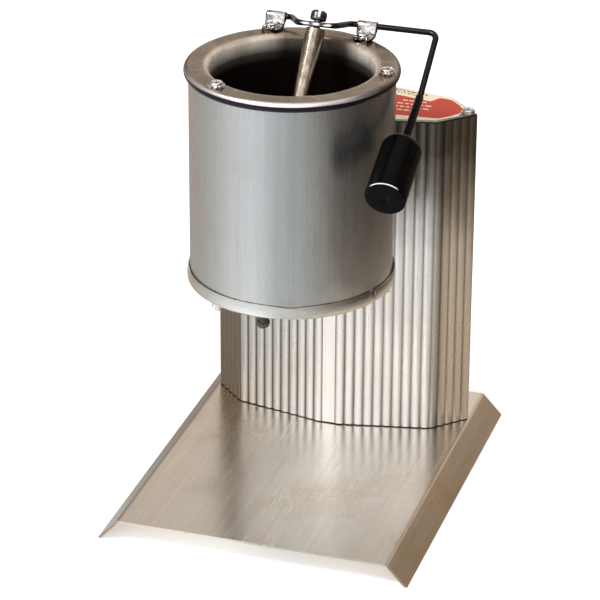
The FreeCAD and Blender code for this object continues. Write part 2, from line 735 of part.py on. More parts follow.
def arm_direction(degrees):
    """Forwards and down at an angle, splayed slightly away from the pot."""
    angle = math.radians(degrees)
    return V(math.tan(math.radians(ARM_SPLAY)), -math.cos(angle), -math.sin(angle)).normalize()


ARM_TOP = V(ARM_X, LEVER_Y, LEVER_Z)
SHANK_TOP = ARM_TOP + arm_direction(ARM_ANGLE) * ARM_LENGTH
SHANK_END = SHANK_TOP + arm_direction(SHANK_ANGLE) * SHANK_LENGTH


def lever_wire():
    """One wire: pivot, crank with a flattened eye, pivot, then the arm."""
    points = [
        V(WIRE_LEFT_X, LEVER_Y, LEVER_Z),
        V(CRANK_X[0], LEVER_Y, LEVER_Z),
        V(CRANK_X[1], EYE_CENTRE.y, EYE_CENTRE.z),
        V(CRANK_X[2], EYE_CENTRE.y, EYE_CENTRE.z),
        V(CRANK_X[3], LEVER_Y, LEVER_Z),
        ARM_TOP,
        SHANK_TOP,
        SHANK_TOP + arm_direction(SHANK_ANGLE) * SHANK_SOCKET,
    ]
    wire = bent_wire(points, WIRE_BEND, WIRE_RADIUS)
    tilt = math.radians(EYE_TILT)
    normal = V(0, math.sin(tilt), math.cos(tilt))
    half = normal * (EYE_SHEET / 2)
    room = normal * 6
    wire = wire.cut(rod(EYE_RADIUS - 0.5, EYE_CENTRE - room, EYE_CENTRE + room))
    eye = rod(EYE_RADIUS, EYE_CENTRE - half, EYE_CENTRE + half)
    eye = eye.cut(rod(EYE_HOLE, EYE_CENTRE - room, EYE_CENTRE + room))
    return wire.fuse(eye)


def lever_shank():
    """The sleeve-like lower arm, bored at the top for the wire."""
    along = arm_direction(SHANK_ANGLE)
    start = SHANK_TOP + along * 3.0
    bar = rod(SHANK_RADIUS, start, SHANK_END - along * (KNOB_LENGTH - KNOB_SOCKET))
    return bar.cut(rod(WIRE_RADIUS, start, SHANK_TOP + along * SHANK_SOCKET))


def lever_knob():
    """A moulded cylindrical handle, well rounded at the arm end, with a dimple in its face."""
    round_centre = V(KNOB_RADIUS - KNOB_ROUND, 0, KNOB_LENGTH - KNOB_ROUND)
    profile = [
        line(V(0, 0, 0), V(0, 0, KNOB_LENGTH)),
        line(V(0, 0, KNOB_LENGTH), V(KNOB_RADIUS - KNOB_ROUND, 0, KNOB_LENGTH)),
        arc_about(round_centre, KNOB_ROUND, 90, 0, X_AXIS, Z_AXIS),
        line(V(KNOB_RADIUS, 0, KNOB_LENGTH - KNOB_ROUND), V(KNOB_RADIUS, 0, KNOB_CHAMFER)),
        line(V(KNOB_RADIUS, 0, KNOB_CHAMFER), V(KNOB_RADIUS - KNOB_CHAMFER, 0, 0)),
        line(V(KNOB_RADIUS - KNOB_CHAMFER, 0, 0), V(0, 0, 0)),
    ]
    knob = Part.Face(Part.Wire(profile)).revolve(V(), Z_AXIS, 360)
    knob = knob.cut(Part.makeCylinder(SHANK_RADIUS, KNOB_SOCKET, V(0, 0, KNOB_LENGTH - KNOB_SOCKET)))
    knob = knob.cut(Part.makeCone(2.0, 0.8, 1.0, V(), Z_AXIS))
    return aligned(knob, arm_direction(SHANK_ANGLE) * -1, SHANK_END)


def tangent_angles(point, centre, radius):
    """Where the two tangents from a point touch a circle in the YZ plane, in degrees."""
    towards = point - centre
    middle = math.degrees(math.atan2(towards.z, towards.y)) % 360
    spread = math.degrees(math.acos(radius / towards.Length))
    return middle + spread, middle - spread + 360


def clip(side):
    """A strap folded round the wire, both ends clamped under a rim screw on a rounded foot."""
    foot_y = polar(BOLT_CIRCLE, CLIP_SCREW_ANGLE).y
    toe_y = foot_y - CLIP_TOE
    foot_x = polar(BOLT_CIRCLE, CLIP_SCREW_ANGLE).x
    inner = WIRE_RADIUS + CLIP_GAP
    centre = V(0, LEVER_Y, LEVER_Z)
    low = V(0, foot_y + CLIP_KNEE, POT_TOP + CLIP_SHEET)
    high = low + V(0, 0, CLIP_LAYER_GAP)
    first = tangent_angles(low, centre, inner)[0]
    last = tangent_angles(high, centre, inner)[1]
    middle = (first + last) / 2
    lower_half = arc_about(centre, inner, first, middle, Y_AXIS, Z_AXIS)
    upper_half = arc_about(centre, inner, middle, last, Y_AXIS, Z_AXIS)
    edges = [
        line(V(0, toe_y, low.z), low),
        line(low, lower_half.valueAt(lower_half.FirstParameter)),
        lower_half,
        upper_half,
        line(upper_half.valueAt(upper_half.LastParameter), high),
        line(high, V(0, toe_y, high.z)),
    ]
    strap = strip(edges, CLIP_SHEET).extrude(V(CLIP_WIDTH, 0, 0))
    strap.translate(V(-CLIP_WIDTH / 2, 0, 0))
    plan = rod(CLIP_WIDTH / 2, V(0, foot_y, 290), V(0, foot_y, 320))
    plan = plan.fuse(box(V(-CLIP_WIDTH / 2, foot_y, 290), V(CLIP_WIDTH / 2, foot_y + 30, 320)))
    strap = strap.common(plan).cut(rod(BOLT_RADIUS + HOLE_GAP, V(0, foot_y, 290), V(0, foot_y, 306)))
    strap.translate(V(side * foot_x, 0, 0))
    return strap


# ---------------------------------------------------------------- bracket and wiring

WEB_REAR_Y = COLUMN_FRONT_Y - SPACER_LENGTH
WEB_FRONT_Y = WEB_REAR_Y - BRACKET_SHEET


def pot_bracket():
    """A hat-section bracket: two curved lugs on the sleeve, two cheeks and a web at the column."""
    axis = V(0, POT_Y, 0)
    cheek = 90 - math.degrees(math.asin(BRACKET_HALF / SLEEVE_RADIUS))
    lug = 90 - BRACKET_LUG_ANGLE
    left_lug = arc_about(axis, SLEEVE_RADIUS, 180 - lug, 180 - cheek, X_AXIS, Y_AXIS)
    right_lug = arc_about(axis, SLEEVE_RADIUS, cheek, lug, X_AXIS, Y_AXIS)
    left_corner = left_lug.valueAt(left_lug.LastParameter)
    right_corner = right_lug.valueAt(right_lug.FirstParameter)
    left_back = V(left_corner.x, WEB_FRONT_Y, 0)
    right_back = V(right_corner.x, WEB_FRONT_Y, 0)
    edges = [
        left_lug, line(left_corner, left_back), line(left_back, right_back),
        line(right_back, right_corner), right_lug,
    ]
    bracket = strip(edges, -BRACKET_SHEET).extrude(V(0, 0, BRACKET_TOP - BRACKET_BOTTOM))
    bracket.translate(V(0, 0, BRACKET_BOTTOM))
    bracket = bracket.cut(lug_holes(HOLE_GAP))
    for z in BRACKET_SCREW_Z:
        bracket = bracket.cut(rod(BOLT_RADIUS + HOLE_GAP, V(0, WEB_FRONT_Y - 2, z), V(0, WEB_REAR_Y + 2, z)))
    return bracket.cut(rod(CONDUIT_RADIUS, V(0, WEB_FRONT_Y - 2, LEAD_Z), V(0, WEB_REAR_Y + 2, LEAD_Z)))


def bracket_spacers():
    spacers = []
    for z in BRACKET_SCREW_Z:
        web, column = V(0, WEB_REAR_Y, z), V(0, COLUMN_FRONT_Y, z)
        spacers.append(tube(SPACER_RADIUS, BOLT_RADIUS + FIT_GAP, web, column))
    return group(spacers)


def bracket_column_screws():
    screws = []
    for z in BRACKET_SCREW_Z:
        screws.append(aligned(pan_screw(10.0), Y_AXIS * -1, V(0, WEB_FRONT_Y, z)))
    return group(screws)


def bracket_column_nuts():
    nuts = []
    for z in BRACKET_SCREW_Z:
        nuts.append(aligned(nut(), Y_AXIS, V(0, INNER_FRONT_Y + 0.45, z)))
    return group(nuts)


def bracket_sleeve_fasteners():
    """Screws through the lugs and the sleeve, and the nuts behind the sleeve."""
    screws = []
    nuts = []
    for side in (1, -1):
        for z in BRACKET_SCREW_Z:
            seat, outward = bracket_bolt_line(side, z)
            screws.append(aligned(pan_screw(7.0), outward, seat))
            inside = seat - outward * (BRACKET_SHEET + SLEEVE_SHEET + NUT_HEIGHT + 0.2)
            nuts.append(aligned(nut(), outward, inside))
    return group(screws), group(nuts)


def lead_conduit():
    """A short fibre tube that carries the leads from the pot into the column."""
    return tube(CONDUIT_RADIUS, CONDUIT_BORE, V(0, 17.0, LEAD_Z), V(0, INNER_FRONT_Y + 4.0, LEAD_Z))


def heater_leads():
    """Two leads from the heater's studs: one to the heat control, one to the terminal block."""
    control_top = DIAL_Z + THERMOSTAT_SIZE.z / 2
    block_top = BLOCK_Z + BLOCK_SIZE.z / 2
    block_y = INNER_REAR_Y - BLOCK_STANDOFF - BLOCK_SIZE.y / 2
    control_y = INNER_REAR_Y - THERMOSTAT_STANDOFF - THERMOSTAT_SIZE.y / 2
    leads = []
    for side in (1, -1):
        route = [
            V(side * LEAD_START_X, LEAD_POCKET_Y, LEAD_Z + TERMINAL_RISE - STUD_RADIUS - LEAD_RADIUS),
            V(side * LEAD_START_X, LEAD_POCKET_Y, LEAD_Z),
            V(side * LEAD_SPREAD, LEAD_POCKET_Y, LEAD_Z),
            V(side * LEAD_SPREAD, LEAD_DROP_Y, LEAD_Z),
        ]
        if side > 0:
            route += [
                V(LEAD_SPREAD, LEAD_DROP_Y, LEAD_Z - 50),
                V(10, control_y, control_top + 18),
                V(10, control_y, control_top),
            ]
        else:
            route += [
                V(-LEAD_SPREAD, LEAD_DROP_Y, LEAD_Z - 20),
                V(-8, block_y, block_top + 16),
                V(-8, block_y, block_top),
            ]
        leads.append(bent_wire(route, LEAD_BEND, LEAD_RADIUS))
    return group(leads)


# ---------------------------------------------------------------- heat control

DIAL_FACE_Y = COLUMN_REAR_Y + DIAL_STANDOFF
DIAL_PLATE_REAR_Y = DIAL_FACE_Y + DIAL_PLATE_SHEET
DIAL_KNOB_Y = DIAL_PLATE_REAR_Y + DIAL_GAP
BUSH_END_Y = DIAL_PLATE_REAR_Y + BUSH_NUT_HEIGHT + 0.6
SHAFT_END_Y = REAR_Y - 5.0


def thermostat_body():
    """The switching block with its locating shoulder and hollow threaded bush."""
    rear = INNER_REAR_Y - THERMOSTAT_STANDOFF
    centre = V(0, rear - THERMOSTAT_SIZE.y / 2, DIAL_Z)
    body = centred_box(THERMOSTAT_SIZE, centre)
    body = body.makeFillet(1.5, [edge for edge in body.Edges if edge.BoundBox.YLength > 5])
    shoulder = rod(SHOULDER_RADIUS, V(0, rear - 1, DIAL_Z), V(0, INNER_REAR_Y - SHOULDER_GAP, DIAL_Z))
    bush = rod(BUSH_RADIUS, V(0, rear, DIAL_Z), V(0, BUSH_END_Y, DIAL_Z))
    bore = rod(SHAFT_RADIUS + 0.05, V(0, rear - 8, DIAL_Z), V(0, BUSH_END_Y + 1, DIAL_Z))
    return body.fuse(shoulder).fuse(bush).cut(bore)


def thermostat_nut():
    locknut = hexagon(BUSH_NUT_FLATS, BUSH_NUT_HEIGHT)
    locknut = locknut.cut(Part.makeCylinder(BUSH_RADIUS + THREAD_GAP, BUSH_NUT_HEIGHT))
    return aligned(locknut, Y_AXIS, V(0, DIAL_PLATE_REAR_Y, DIAL_Z))


def dial_plate():
    face, rear = V(0, DIAL_FACE_Y, DIAL_Z), V(0, DIAL_PLATE_REAR_Y, DIAL_Z)
    return tube(DIAL_PLATE_RADIUS, BUSH_RADIUS + FIT_GAP, face, rear)


def dial_shaft():
    return rod(SHAFT_RADIUS, V(0, INNER_REAR_Y - THERMOSTAT_STANDOFF - 7, DIAL_Z), V(0, SHAFT_END_Y, DIAL_Z))


def dial_knob():
    """A skirted control knob with a fluted grip and a raised pointer."""
    height = REAR_Y - DIAL_KNOB_Y
    skirt = Part.makeCylinder(DIAL_SKIRT_RADIUS, DIAL_SKIRT)
    skirt = skirt.makeFillet(0.7, [skirt.Edges[0]])
    grip = Part.makeCone(DIAL_GRIP_RADIUS, DIAL_GRIP_RADIUS - 1.2, height)
    grip = grip.makeFillet(1.2, [edge for edge in grip.Edges if edge.BoundBox.ZMin > height - 0.1])
    for flute in range(DIAL_FLUTES):
        angle = math.radians(360.0 / DIAL_FLUTES * (flute + 0.5))
        centre = V(math.cos(angle), math.sin(angle), 0) * (DIAL_GRIP_RADIUS + 0.4)
        grip = grip.cut(Part.makeCylinder(DIAL_FLUTE_RADIUS, height, centre + V(0, 0, DIAL_SKIRT)))
    pointer = Part.makeBox(DIAL_SKIRT_RADIUS - 4.0, 1.4, 0.8, V(3.0, -0.7, height - 0.8))
    pointer_tip = Part.makeBox(2.6, 1.4, 0.7, V(DIAL_GRIP_RADIUS, -0.7, DIAL_SKIRT))
    knob = skirt.fuse(grip).fuse(pointer_tip)
    knob = knob.fuse(pointer.common(grip)).removeSplitter()
    knob = knob.cut(Part.makeCylinder(KNOB_RECESS_RADIUS, BUSH_END_Y - DIAL_KNOB_Y + 0.6))
    knob = knob.cut(Part.makeCylinder(SHAFT_RADIUS, SHAFT_END_Y - DIAL_KNOB_Y))
    knob.rotate(V(), Z_AXIS, DIAL_REST_ANGLE)
    return aligned(knob, Y_AXIS, V(0, DIAL_KNOB_Y, DIAL_Z))


def terminal_block():
    """A ceramic connector block on a round foot."""
    rear = INNER_REAR_Y - BLOCK_STANDOFF
    block = centred_box(BLOCK_SIZE, V(0, rear - BLOCK_SIZE.y / 2, BLOCK_Z))
    block = block.fuse(rod(4.0, V(0, rear - 1, BLOCK_Z), V(0, INNER_REAR_Y, BLOCK_Z)))
    for side in (1, -1):
        mouth = V(side * 8, rear - BLOCK_SIZE.y, BLOCK_Z)
        block = block.cut(rod(2.6, mouth - Y_AXIS, mouth + Y_AXIS * 4))
    return block.cut(rod(BLOCK_SCREW_RADIUS, V(0, rear - 6, BLOCK_Z), V(0, INNER_REAR_Y + 1, BLOCK_Z)))


def terminal_block_screw():
    screw = pan_head(3.4, 2.0).fuse(Part.makeCylinder(BLOCK_SCREW_RADIUS, 8.0, V(0, 0, -8.0)))
    return aligned(screw, Y_AXIS, V(0, COLUMN_REAR_Y, BLOCK_Z))


def cord_bush():
    """The inlet gland for the supply cord, flanged on the outside."""
    flange_y = COLUMN_REAR_Y + DIAL_STANDOFF
    bush = rod(CORD_BUSH_RADIUS, V(0, INNER_REAR_Y - 6, CORD_Z), V(0, flange_y, CORD_Z))
    flange = rod(CORD_FLANGE_RADIUS, V(0, flange_y, CORD_Z), V(0, flange_y + CORD_FLANGE, CORD_Z))
    flange = flange.makeFillet(1.0, [edge for edge in flange.Edges if edge.BoundBox.YMin > flange_y + 1])
    return bush.fuse(flange).cut(rod(CORD_BORE, V(0, 80, CORD_Z), V(0, 130, CORD_Z)))


# ---------------------------------------------------------------- assembly

def build():
    """Every piece of the furnace by name."""
    front_shell, rear_shell = column_shells()
    sleeve_screws, sleeve_nuts = bracket_sleeve_fasteners()
    return {
        "base_plate": base_plate(),
        "column_front_shell": front_shell,
        "column_rear_shell": rear_shell,
        "column_cap": cap_plate(),
        "cap_label": label(),
        "cap_screws": channel_screws(COLUMN_TOP + CAP_SHEET, 1),
        "base_screws": channel_screws(PLATE_TOP - PLATE_SHEET, -1),
        "pot_bracket": pot_bracket(),
        "bracket_spacers": bracket_spacers(),
        "bracket_column_screws": bracket_column_screws(),
        "bracket_column_nuts": bracket_column_nuts(),
        "bracket_sleeve_screws": sleeve_screws,
        "bracket_sleeve_nuts": sleeve_nuts,
        "crucible": crucible(),
        "pot_sleeve": sleeve(),
        "bottom_pan": bottom_pan(),
        "heating_band": heating_band(),
        "heater_terminals": heater_terminals(),
        "lagging_wrap": lagging(),
        "floor_pad": floor_pad(),
        "tie_bolts": tie_bolts(),
        "tie_bolt_nuts": tie_bolt_nuts(),
        "rim_washers": rim_washers(),
        "clip_screw": clip_screw(),
        "clip_nut": clip_nut(),
        "left_clip": clip(-1),
        "right_clip": clip(1),
        "pour_spout": pour_spout(),
        "spout_nut": spout_nut(),
        "lead_conduit": lead_conduit(),
        "heater_leads": heater_leads(),
        "thermostat_body": thermostat_body(),
        "thermostat_nut": thermostat_nut(),
        "dial_plate": dial_plate(),
        "terminal_block": terminal_block(),
        "terminal_block_screw": terminal_block_screw(),
        "cord_bush": cord_bush(),
        "valve_rod": valve_rod(),
        "flow_screw": flow_screw(),
        "lever_wire": lever_wire(),
        "lever_shank": lever_shank(),
        "lever_knob": lever_knob(),
        "dial_shaft": dial_shaft(),
        "dial_knob": dial_knob(),
    }


os.makedirs("parts", exist_ok=True)
for name, shape in build().items():
    shape.exportStep(f"parts/{name}.step")
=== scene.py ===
import json
import math
import random

import bmesh
import bpy
from mathutils import Matrix, Vector, noise


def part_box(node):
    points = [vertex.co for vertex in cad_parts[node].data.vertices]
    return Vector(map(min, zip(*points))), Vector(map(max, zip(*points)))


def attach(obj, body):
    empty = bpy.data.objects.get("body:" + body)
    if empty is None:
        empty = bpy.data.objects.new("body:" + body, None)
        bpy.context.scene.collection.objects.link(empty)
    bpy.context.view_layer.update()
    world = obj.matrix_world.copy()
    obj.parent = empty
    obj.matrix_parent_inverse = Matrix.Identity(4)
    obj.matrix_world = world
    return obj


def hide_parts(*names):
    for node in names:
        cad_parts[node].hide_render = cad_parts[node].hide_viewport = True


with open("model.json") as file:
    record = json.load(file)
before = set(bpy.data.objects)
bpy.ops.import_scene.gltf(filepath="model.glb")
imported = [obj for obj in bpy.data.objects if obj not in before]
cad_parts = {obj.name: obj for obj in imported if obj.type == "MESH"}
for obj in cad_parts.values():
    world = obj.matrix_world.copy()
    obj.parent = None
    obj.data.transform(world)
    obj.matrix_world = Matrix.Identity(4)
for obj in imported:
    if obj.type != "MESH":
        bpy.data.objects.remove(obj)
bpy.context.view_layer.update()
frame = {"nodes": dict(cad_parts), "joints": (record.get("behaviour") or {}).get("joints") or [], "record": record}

# Looks of the bottom-pour melting furnace: finer meshes over the fixed frame, finishes, camera and studio.
# Shapes are drawn in millimetres in the row frame and become metres in add_piece().

MM = 0.001
WELD = 1e-7
SHARP_EDGE = 38.0
CREASE = 50.0
Y_AXIS = Vector((0, 1, 0))
Z_AXIS = Vector((0, 0, 1))
record = frame["record"]


def box_mm(node):
    """Lowest and highest corner of a frame node, in millimetres."""
    low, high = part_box(node)
    return low / MM, high / MM


def centre_mm(node):
    low, high = box_mm(node)
    return (low + high) / 2


def joint_axis(name):
    axis = next(joint["axis"] for joint in frame["joints"] if joint["name"] == name)
    return Vector(axis).normalized()


def joint_place(name):
    return Vector(next(joint["pos_m"] for joint in frame["joints"] if joint["name"] == name)) / MM


def pot_axis():
    centre = centre_mm("pot_sleeve")
    return Vector((centre.x, centre.y, 0))


# ------------------------------------------------------------------ shapes

class Shape:
    """Vertices and faces in millimetres; each vertex has a paint value, 1 plain to 0 fully painted: painted shade
    on most parts, a painted highlight on the lever's wire and knob.
    """

    def __init__(self):
        self.points = []
        self.faces = []
        self.paint = []

    def skin(self, rows, closed_row=True, closed_rows=False, caps=True, paint=None):
        """Quads between rows of equal length; caps close the first and last row."""
        first = len(self.points)
        width = len(rows[0])
        for index, row in enumerate(rows):
            self.points.extend(Vector(point) for point in row)
            self.paint.extend(paint[index] if paint else [1.0] * width)
        last_row = len(rows) if closed_rows else len(rows) - 1
        last_column = width if closed_row else width - 1
        for i in range(last_row):
            a = first + i * width
            b = first + (i + 1) % len(rows) * width
            for j in range(last_column):
                k = (j + 1) % width
                self.faces.append((a + j, a + k, b + k, b + j))
        if caps and closed_row and not closed_rows:
            start = first
            end = first + (len(rows) - 1) * width
            self.faces.append(tuple(reversed(range(start, start + width))))
            self.faces.append(tuple(range(end, end + width)))
        return self

    def lathe(self, profile, sides, origin=(0, 0, 0), axis=Z_AXIS, closed=True, wobble=None):
        """A loop of (radius, height) pairs turned about an axis."""
        turn = Z_AXIS.rotation_difference(Vector(axis))
        base = Vector(origin)
        rows = []
        for side in range(sides):
            angle = 2 * math.pi * side / sides
            row = []
            for radius, height in profile:
                if wobble:
                    radius, height = wobble(radius, height, angle)
                row.append(base + turn @ Vector((radius * math.cos(angle), radius * math.sin(angle), height)))
            rows.append(row)
        return self.skin(rows, closed_row=closed, closed_rows=True)

    def place(self, origin, axis=Z_AXIS, turn=0.0):
        """The shape drawn along +Z, turned about it, aimed along an axis and moved."""
        aim = Z_AXIS.rotation_difference(Vector(axis)) @ Matrix.Rotation(turn, 3, "Z").to_quaternion()
        self.points = [Vector(origin) + aim @ point for point in self.points]
        return self

    def join(self, other):
        shift = len(self.points)
        self.points += other.points
        self.paint += other.paint
        self.faces += [tuple(index + shift for index in face) for face in other.faces]
        return self


def add_piece(name, shape, body, slot, replaces=(), finish=None, sharp=SHARP_EDGE):
    """One shown piece with its slot's finish or another one; edges past the sharp angle stay crisp."""
    bm = bmesh.new()
    # The stored paint value marks painted shade and painted highlights.
    layer = bm.verts.layers.float.new("painted_light")
    vertices = []
    for point, value in zip(shape.points, shape.paint):
        vertex = bm.verts.new(point * MM)
        vertex[layer] = 1 - value
        vertices.append(vertex)
    for face in shape.faces:
        corners = [vertices[index] for index in face]
        if len(set(corners)) == len(corners):
            try:
                bm.faces.new(corners)
            except ValueError:
                continue
    bmesh.ops.remove_doubles(bm, verts=bm.verts, dist=WELD)
    bmesh.ops.dissolve_degenerate(bm, edges=bm.edges, dist=WELD / 10)
    bmesh.ops.recalc_face_normals(bm, faces=bm.faces)
    for face in bm.faces:
        face.smooth = True
    for edge in bm.edges:
        if len(edge.link_faces) == 2 and edge.calc_face_angle(0.0) > math.radians(sharp):
            edge.smooth = False
    mesh = bpy.data.meshes.new(name)
    bm.to_mesh(mesh)
    bm.free()
    mesh.materials.append(FINISHES[finish or slot])
    piece = bpy.data.objects.new(name, mesh)
    bpy.context.scene.collection.objects.link(piece)
    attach(piece, body)
    if replaces:
        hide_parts(*replaces)
    return piece


def smooth_step(value, low, high):
    share = min(1.0, max(0.0, (value - low) / (high - low)))
    return share * share * (3 - 2 * share)


def arc_points(centre, radius, first, last, count):
    """Points of an arc in a plane, angles in degrees."""
    points = []
    for step in range(count + 1):
        angle = math.radians(first + (last - first) * step / count)
        points.append((centre[0] + radius * math.cos(angle), centre[1] + radius * math.sin(angle)))
    return points


def bend_path(points, bend, steps=8):
    """A line of points whose corners are rounded with one radius."""
    path = [Vector(points[0])]
    for before, corner, after in zip(points, points[1:], points[2:]):
        before, corner, after = Vector(before), Vector(corner), Vector(after)
        arriving = (corner - before).normalized()
        leaving = (after - corner).normalized()
        half_turn = arriving.angle(leaving) / 2
        if half_turn < 1e-4:
            path.append(corner)
            continue
        start = corner - arriving * bend * math.tan(half_turn)
        inward = (leaving - arriving).normalized()
        centre = corner + inward * (bend / math.cos(half_turn))
        spoke = start - centre
        axis = arriving.cross(leaving).normalized() if len(arriving) == 3 else None
        for step in range(steps + 1):
            angle = 2 * half_turn * step / steps
            if axis is None:
                sign = 1 if arriving.x * leaving.y - arriving.y * leaving.x > 0 else -1
                path.append(centre + Matrix.Rotation(sign * angle, 2) @ spoke)
            else:
                path.append(centre + Matrix.Rotation(angle, 3, axis) @ spoke)
    path.append(Vector(points[-1]))
    return path


def subdivide(path, step):
    """A path with no segment longer than the step."""
    points = []
    for a, b in zip(path, path[1:]):
        count = max(1, math.ceil((b - a).length / step))
        for index in range(count):
            points.append(a + (b - a) * (index / count))
    points.append(path[-1])
    return points


def tube_rows(path, section_at, sides=28):
    """Rings along a path. section_at(point) gives half width and half height of the oval section."""
    tangents = []
    for index in range(len(path)):
        after = path[min(index + 1, len(path) - 1)]
        before = path[max(index - 1, 0)]
        tangents.append((after - before).normalized())
    up = Z_AXIS - tangents[0] * Z_AXIS.dot(tangents[0])
    if up.length < 0.1:
        up = Y_AXIS - tangents[0] * Y_AXIS.dot(tangents[0])
    up.normalize()
    rows = []
    for index, point in enumerate(path):
        if index:
            up = tangents[index - 1].rotation_difference(tangents[index]) @ up
            up = (up - tangents[index] * up.dot(tangents[index])).normalized()
        across = tangents[index].cross(up)
        width, height = section_at(point)
        row = []
        for side in range(sides):
            angle = 2 * math.pi * side / sides
            row.append(point + across * width * math.cos(angle) + up * height * math.sin(angle))
        rows.append(row)
    return rows


def rounded_ends(rows, softness):
    """Adds one smaller ring beyond each end, so that the ends are chamfered."""
    def smaller(row, neighbour):
        middle = sum(row, Vector()) / len(row)
        inner = sum(neighbour, Vector()) / len(neighbour)
        out = (middle - inner).normalized() * softness
        radius = max((point - middle).length for point in row)
        shrink = max(0.0, 1 - softness / radius)
        return [middle + out + (point - middle) * shrink for point in row]
    return [smaller(rows[0], rows[1])] + rows + [smaller(rows[-1], rows[-2])]


def drill(piece, centre, axis, radius, length):
    """Cuts a round hole through a finished piece; centre and sizes in millimetres."""
    bm = bmesh.new()
    aim = Z_AXIS.rotation_difference(axis).to_matrix().to_4x4()
    bmesh.ops.create_cone(bm, cap_ends=True, segments=48, radius1=radius * MM, radius2=radius * MM,
                          depth=length * MM, matrix=Matrix.Translation(centre * MM) @ aim)
    mesh = bpy.data.meshes.new("drill")
    bm.to_mesh(mesh)
    bm.free()
    cutter = bpy.data.objects.new("drill", mesh)
    bpy.context.scene.collection.objects.link(cutter)
    cut = piece.modifiers.new("hole", "BOOLEAN")
    cut.operation = "DIFFERENCE"
    cut.solver = "EXACT"
    cut.object = cutter
    bpy.context.view_layer.update()
    graph = bpy.context.evaluated_depsgraph_get()
    drilled = bpy.data.meshes.new_from_object(piece.evaluated_get(graph))
    piece.modifiers.clear()
    piece.data = drilled
    bpy.data.objects.remove(cutter)


def convex_inset(outline, inset):
    """A convex outline with every side moved inwards by the same amount."""
    moved = []
    count = len(outline)
    for index in range(count):
        before, corner, after = outline[index - 1], outline[index], outline[(index + 1) % count]
        arriving = (corner - before).normalized()
        leaving = (after - corner).normalized()
        normal_a = Vector((-arriving.y, arriving.x))
        normal_b = Vector((-leaving.y, leaving.x))
        bisector = (normal_a + normal_b).normalized()
        moved.append(corner + bisector * (inset / max(0.2, bisector.dot(normal_a))))
    return moved


def clip_outline(outline, limit):
    """The part of a convex outline between -limit and +limit in x."""
    for sign in (1, -1):
        kept = []
        for a, b in zip(outline, outline[1:] + outline[:1]):
            inside_a = sign * a.x <= limit
            inside_b = sign * b.x <= limit
            if inside_a:
                kept.append(a)
            if inside_a != inside_b:
                share = (sign * limit - a.x) / (b.x - a.x)
                kept.append(a + (b - a) * share)
        outline = kept
    return outline


def soft_plate(outline, bottom, top, edge):
    """A flat plate with a small chamfer round both faces."""
    steps = ((bottom, edge), (bottom + edge, 0.0), (top - edge, 0.0), (top, edge))
    rows = []
    for z, inset in steps:
        rows.append([(p.x, p.y, z) for p in (convex_inset(outline, inset) if inset else outline)])
    return Shape().skin(rows)


# ------------------------------------------------------------------ materials

def fill_ramp(ramp, stops):
    """Sets a colour ramp node's stops, each (position, value) or (position, colour)."""
    elements = ramp.color_ramp.elements
    while len(elements) < len(stops):
        elements.new(0.5)
    for element, (position, value) in zip(elements, stops):
        element.position = position
        element.color = (value, value, value, 1) if isinstance(value, (int, float)) else (*value, 1)
    return ramp.outputs["Color"]


class Finish:
    """A material under construction."""

    def __init__(self, name):
        self.material = bpy.data.materials.new(name)
        self.material.use_nodes = True
        self.tree = self.material.node_tree
        self.tree.nodes.clear()
        output = self.tree.nodes.new("ShaderNodeOutputMaterial")
        self.surface = self.tree.nodes.new("ShaderNodeBsdfPrincipled")
        self.tree.links.new(self.surface.outputs[0], output.inputs["Surface"])
        self.place = self.tree.nodes.new("ShaderNodeTexCoord").outputs["Object"]

    def node(self, kind, inputs=None, **settings):
        made = self.tree.nodes.new("ShaderNode" + kind)
        for name, value in settings.items():
            setattr(made, name, value)
        for name, value in (inputs or {}).items():
            self.give(made.inputs[name], value)
        return made

    def give(self, socket, value):
        if isinstance(value, bpy.types.NodeSocket):
            self.tree.links.new(value, socket)
        else:
            socket.default_value = value

    def set(self, **values):
        for name, value in values.items():
            self.give(self.surface.inputs[name.replace("_", " ").title().replace("Ior", "IOR")], value)
        return self

    def noise(self, size, stretch=(1, 1, 1), detail=4.0, rough=0.55, distortion=0.0):
        """Noise with features of about this size in millimetres; stretch lengthens them along an axis."""
        scale = tuple(1 / (size * MM * along) for along in stretch)
        spread = self.node("Mapping", {"Vector": self.place, "Scale": scale})
        made = self.node("TexNoise", {"Vector": spread.outputs[0], "Scale": 1.0, "Detail": detail,
                                      "Roughness": rough, "Distortion": distortion})
        return made.outputs["Fac"]

    def ramp(self, factor, *stops):
        return fill_ramp(self.node("ValToRGB", {"Fac": factor}), stops)

    def mix(self, factor, a, b, blend="MIX"):
        made = self.node("Mix", data_type="RGBA", blend_type=blend)
        self.give(made.inputs[0], factor)
        self.give(made.inputs[6], a if isinstance(a, bpy.types.NodeSocket) else (*a, 1))
        self.give(made.inputs[7], b if isinstance(b, bpy.types.NodeSocket) else (*b, 1))
        return made.outputs[2]

    def sum(self, a, b, operation="ADD"):
        made = self.node("Math", operation=operation)
        self.give(made.inputs[0], a)
        self.give(made.inputs[1], b)
        return made.outputs[0]

    def size(self, value):
        """The value without its sign."""
        return self.node("Math", {0: value}, operation="ABSOLUTE").outputs[0]

    def span(self, value, low, high, first=0.0, last=1.0):
        """The value's place between low and high, spread over first to last and kept within them."""
        made = self.node("MapRange", {
            "Value": value, "From Min": low, "From Max": high, "To Min": first, "To Max": last})
        return made.outputs[0]

    def length(self, vector):
        return self.node("VectorMath", {"Vector": vector}, operation="LENGTH").outputs["Value"]

    def bump(self, height, depth, under=None):
        """Relief of a given depth in millimetres."""
        made = self.node("Bump", {"Height": height, "Strength": 1.0, "Distance": depth * MM})
        if under is not None:
            self.give(made.inputs["Normal"], under)
        return made.outputs[0]

    def painted(self):
        """The paint value that carries painted shade and painted highlights; meshes without one count as
        unpainted.
        """
        return self.sum(1.0, self.node("Attribute", attribute_name="painted_light").outputs["Fac"], "SUBTRACT")

    def axis(self, name):
        return self.node("SeparateXYZ", {"Vector": self.place}).outputs[name]


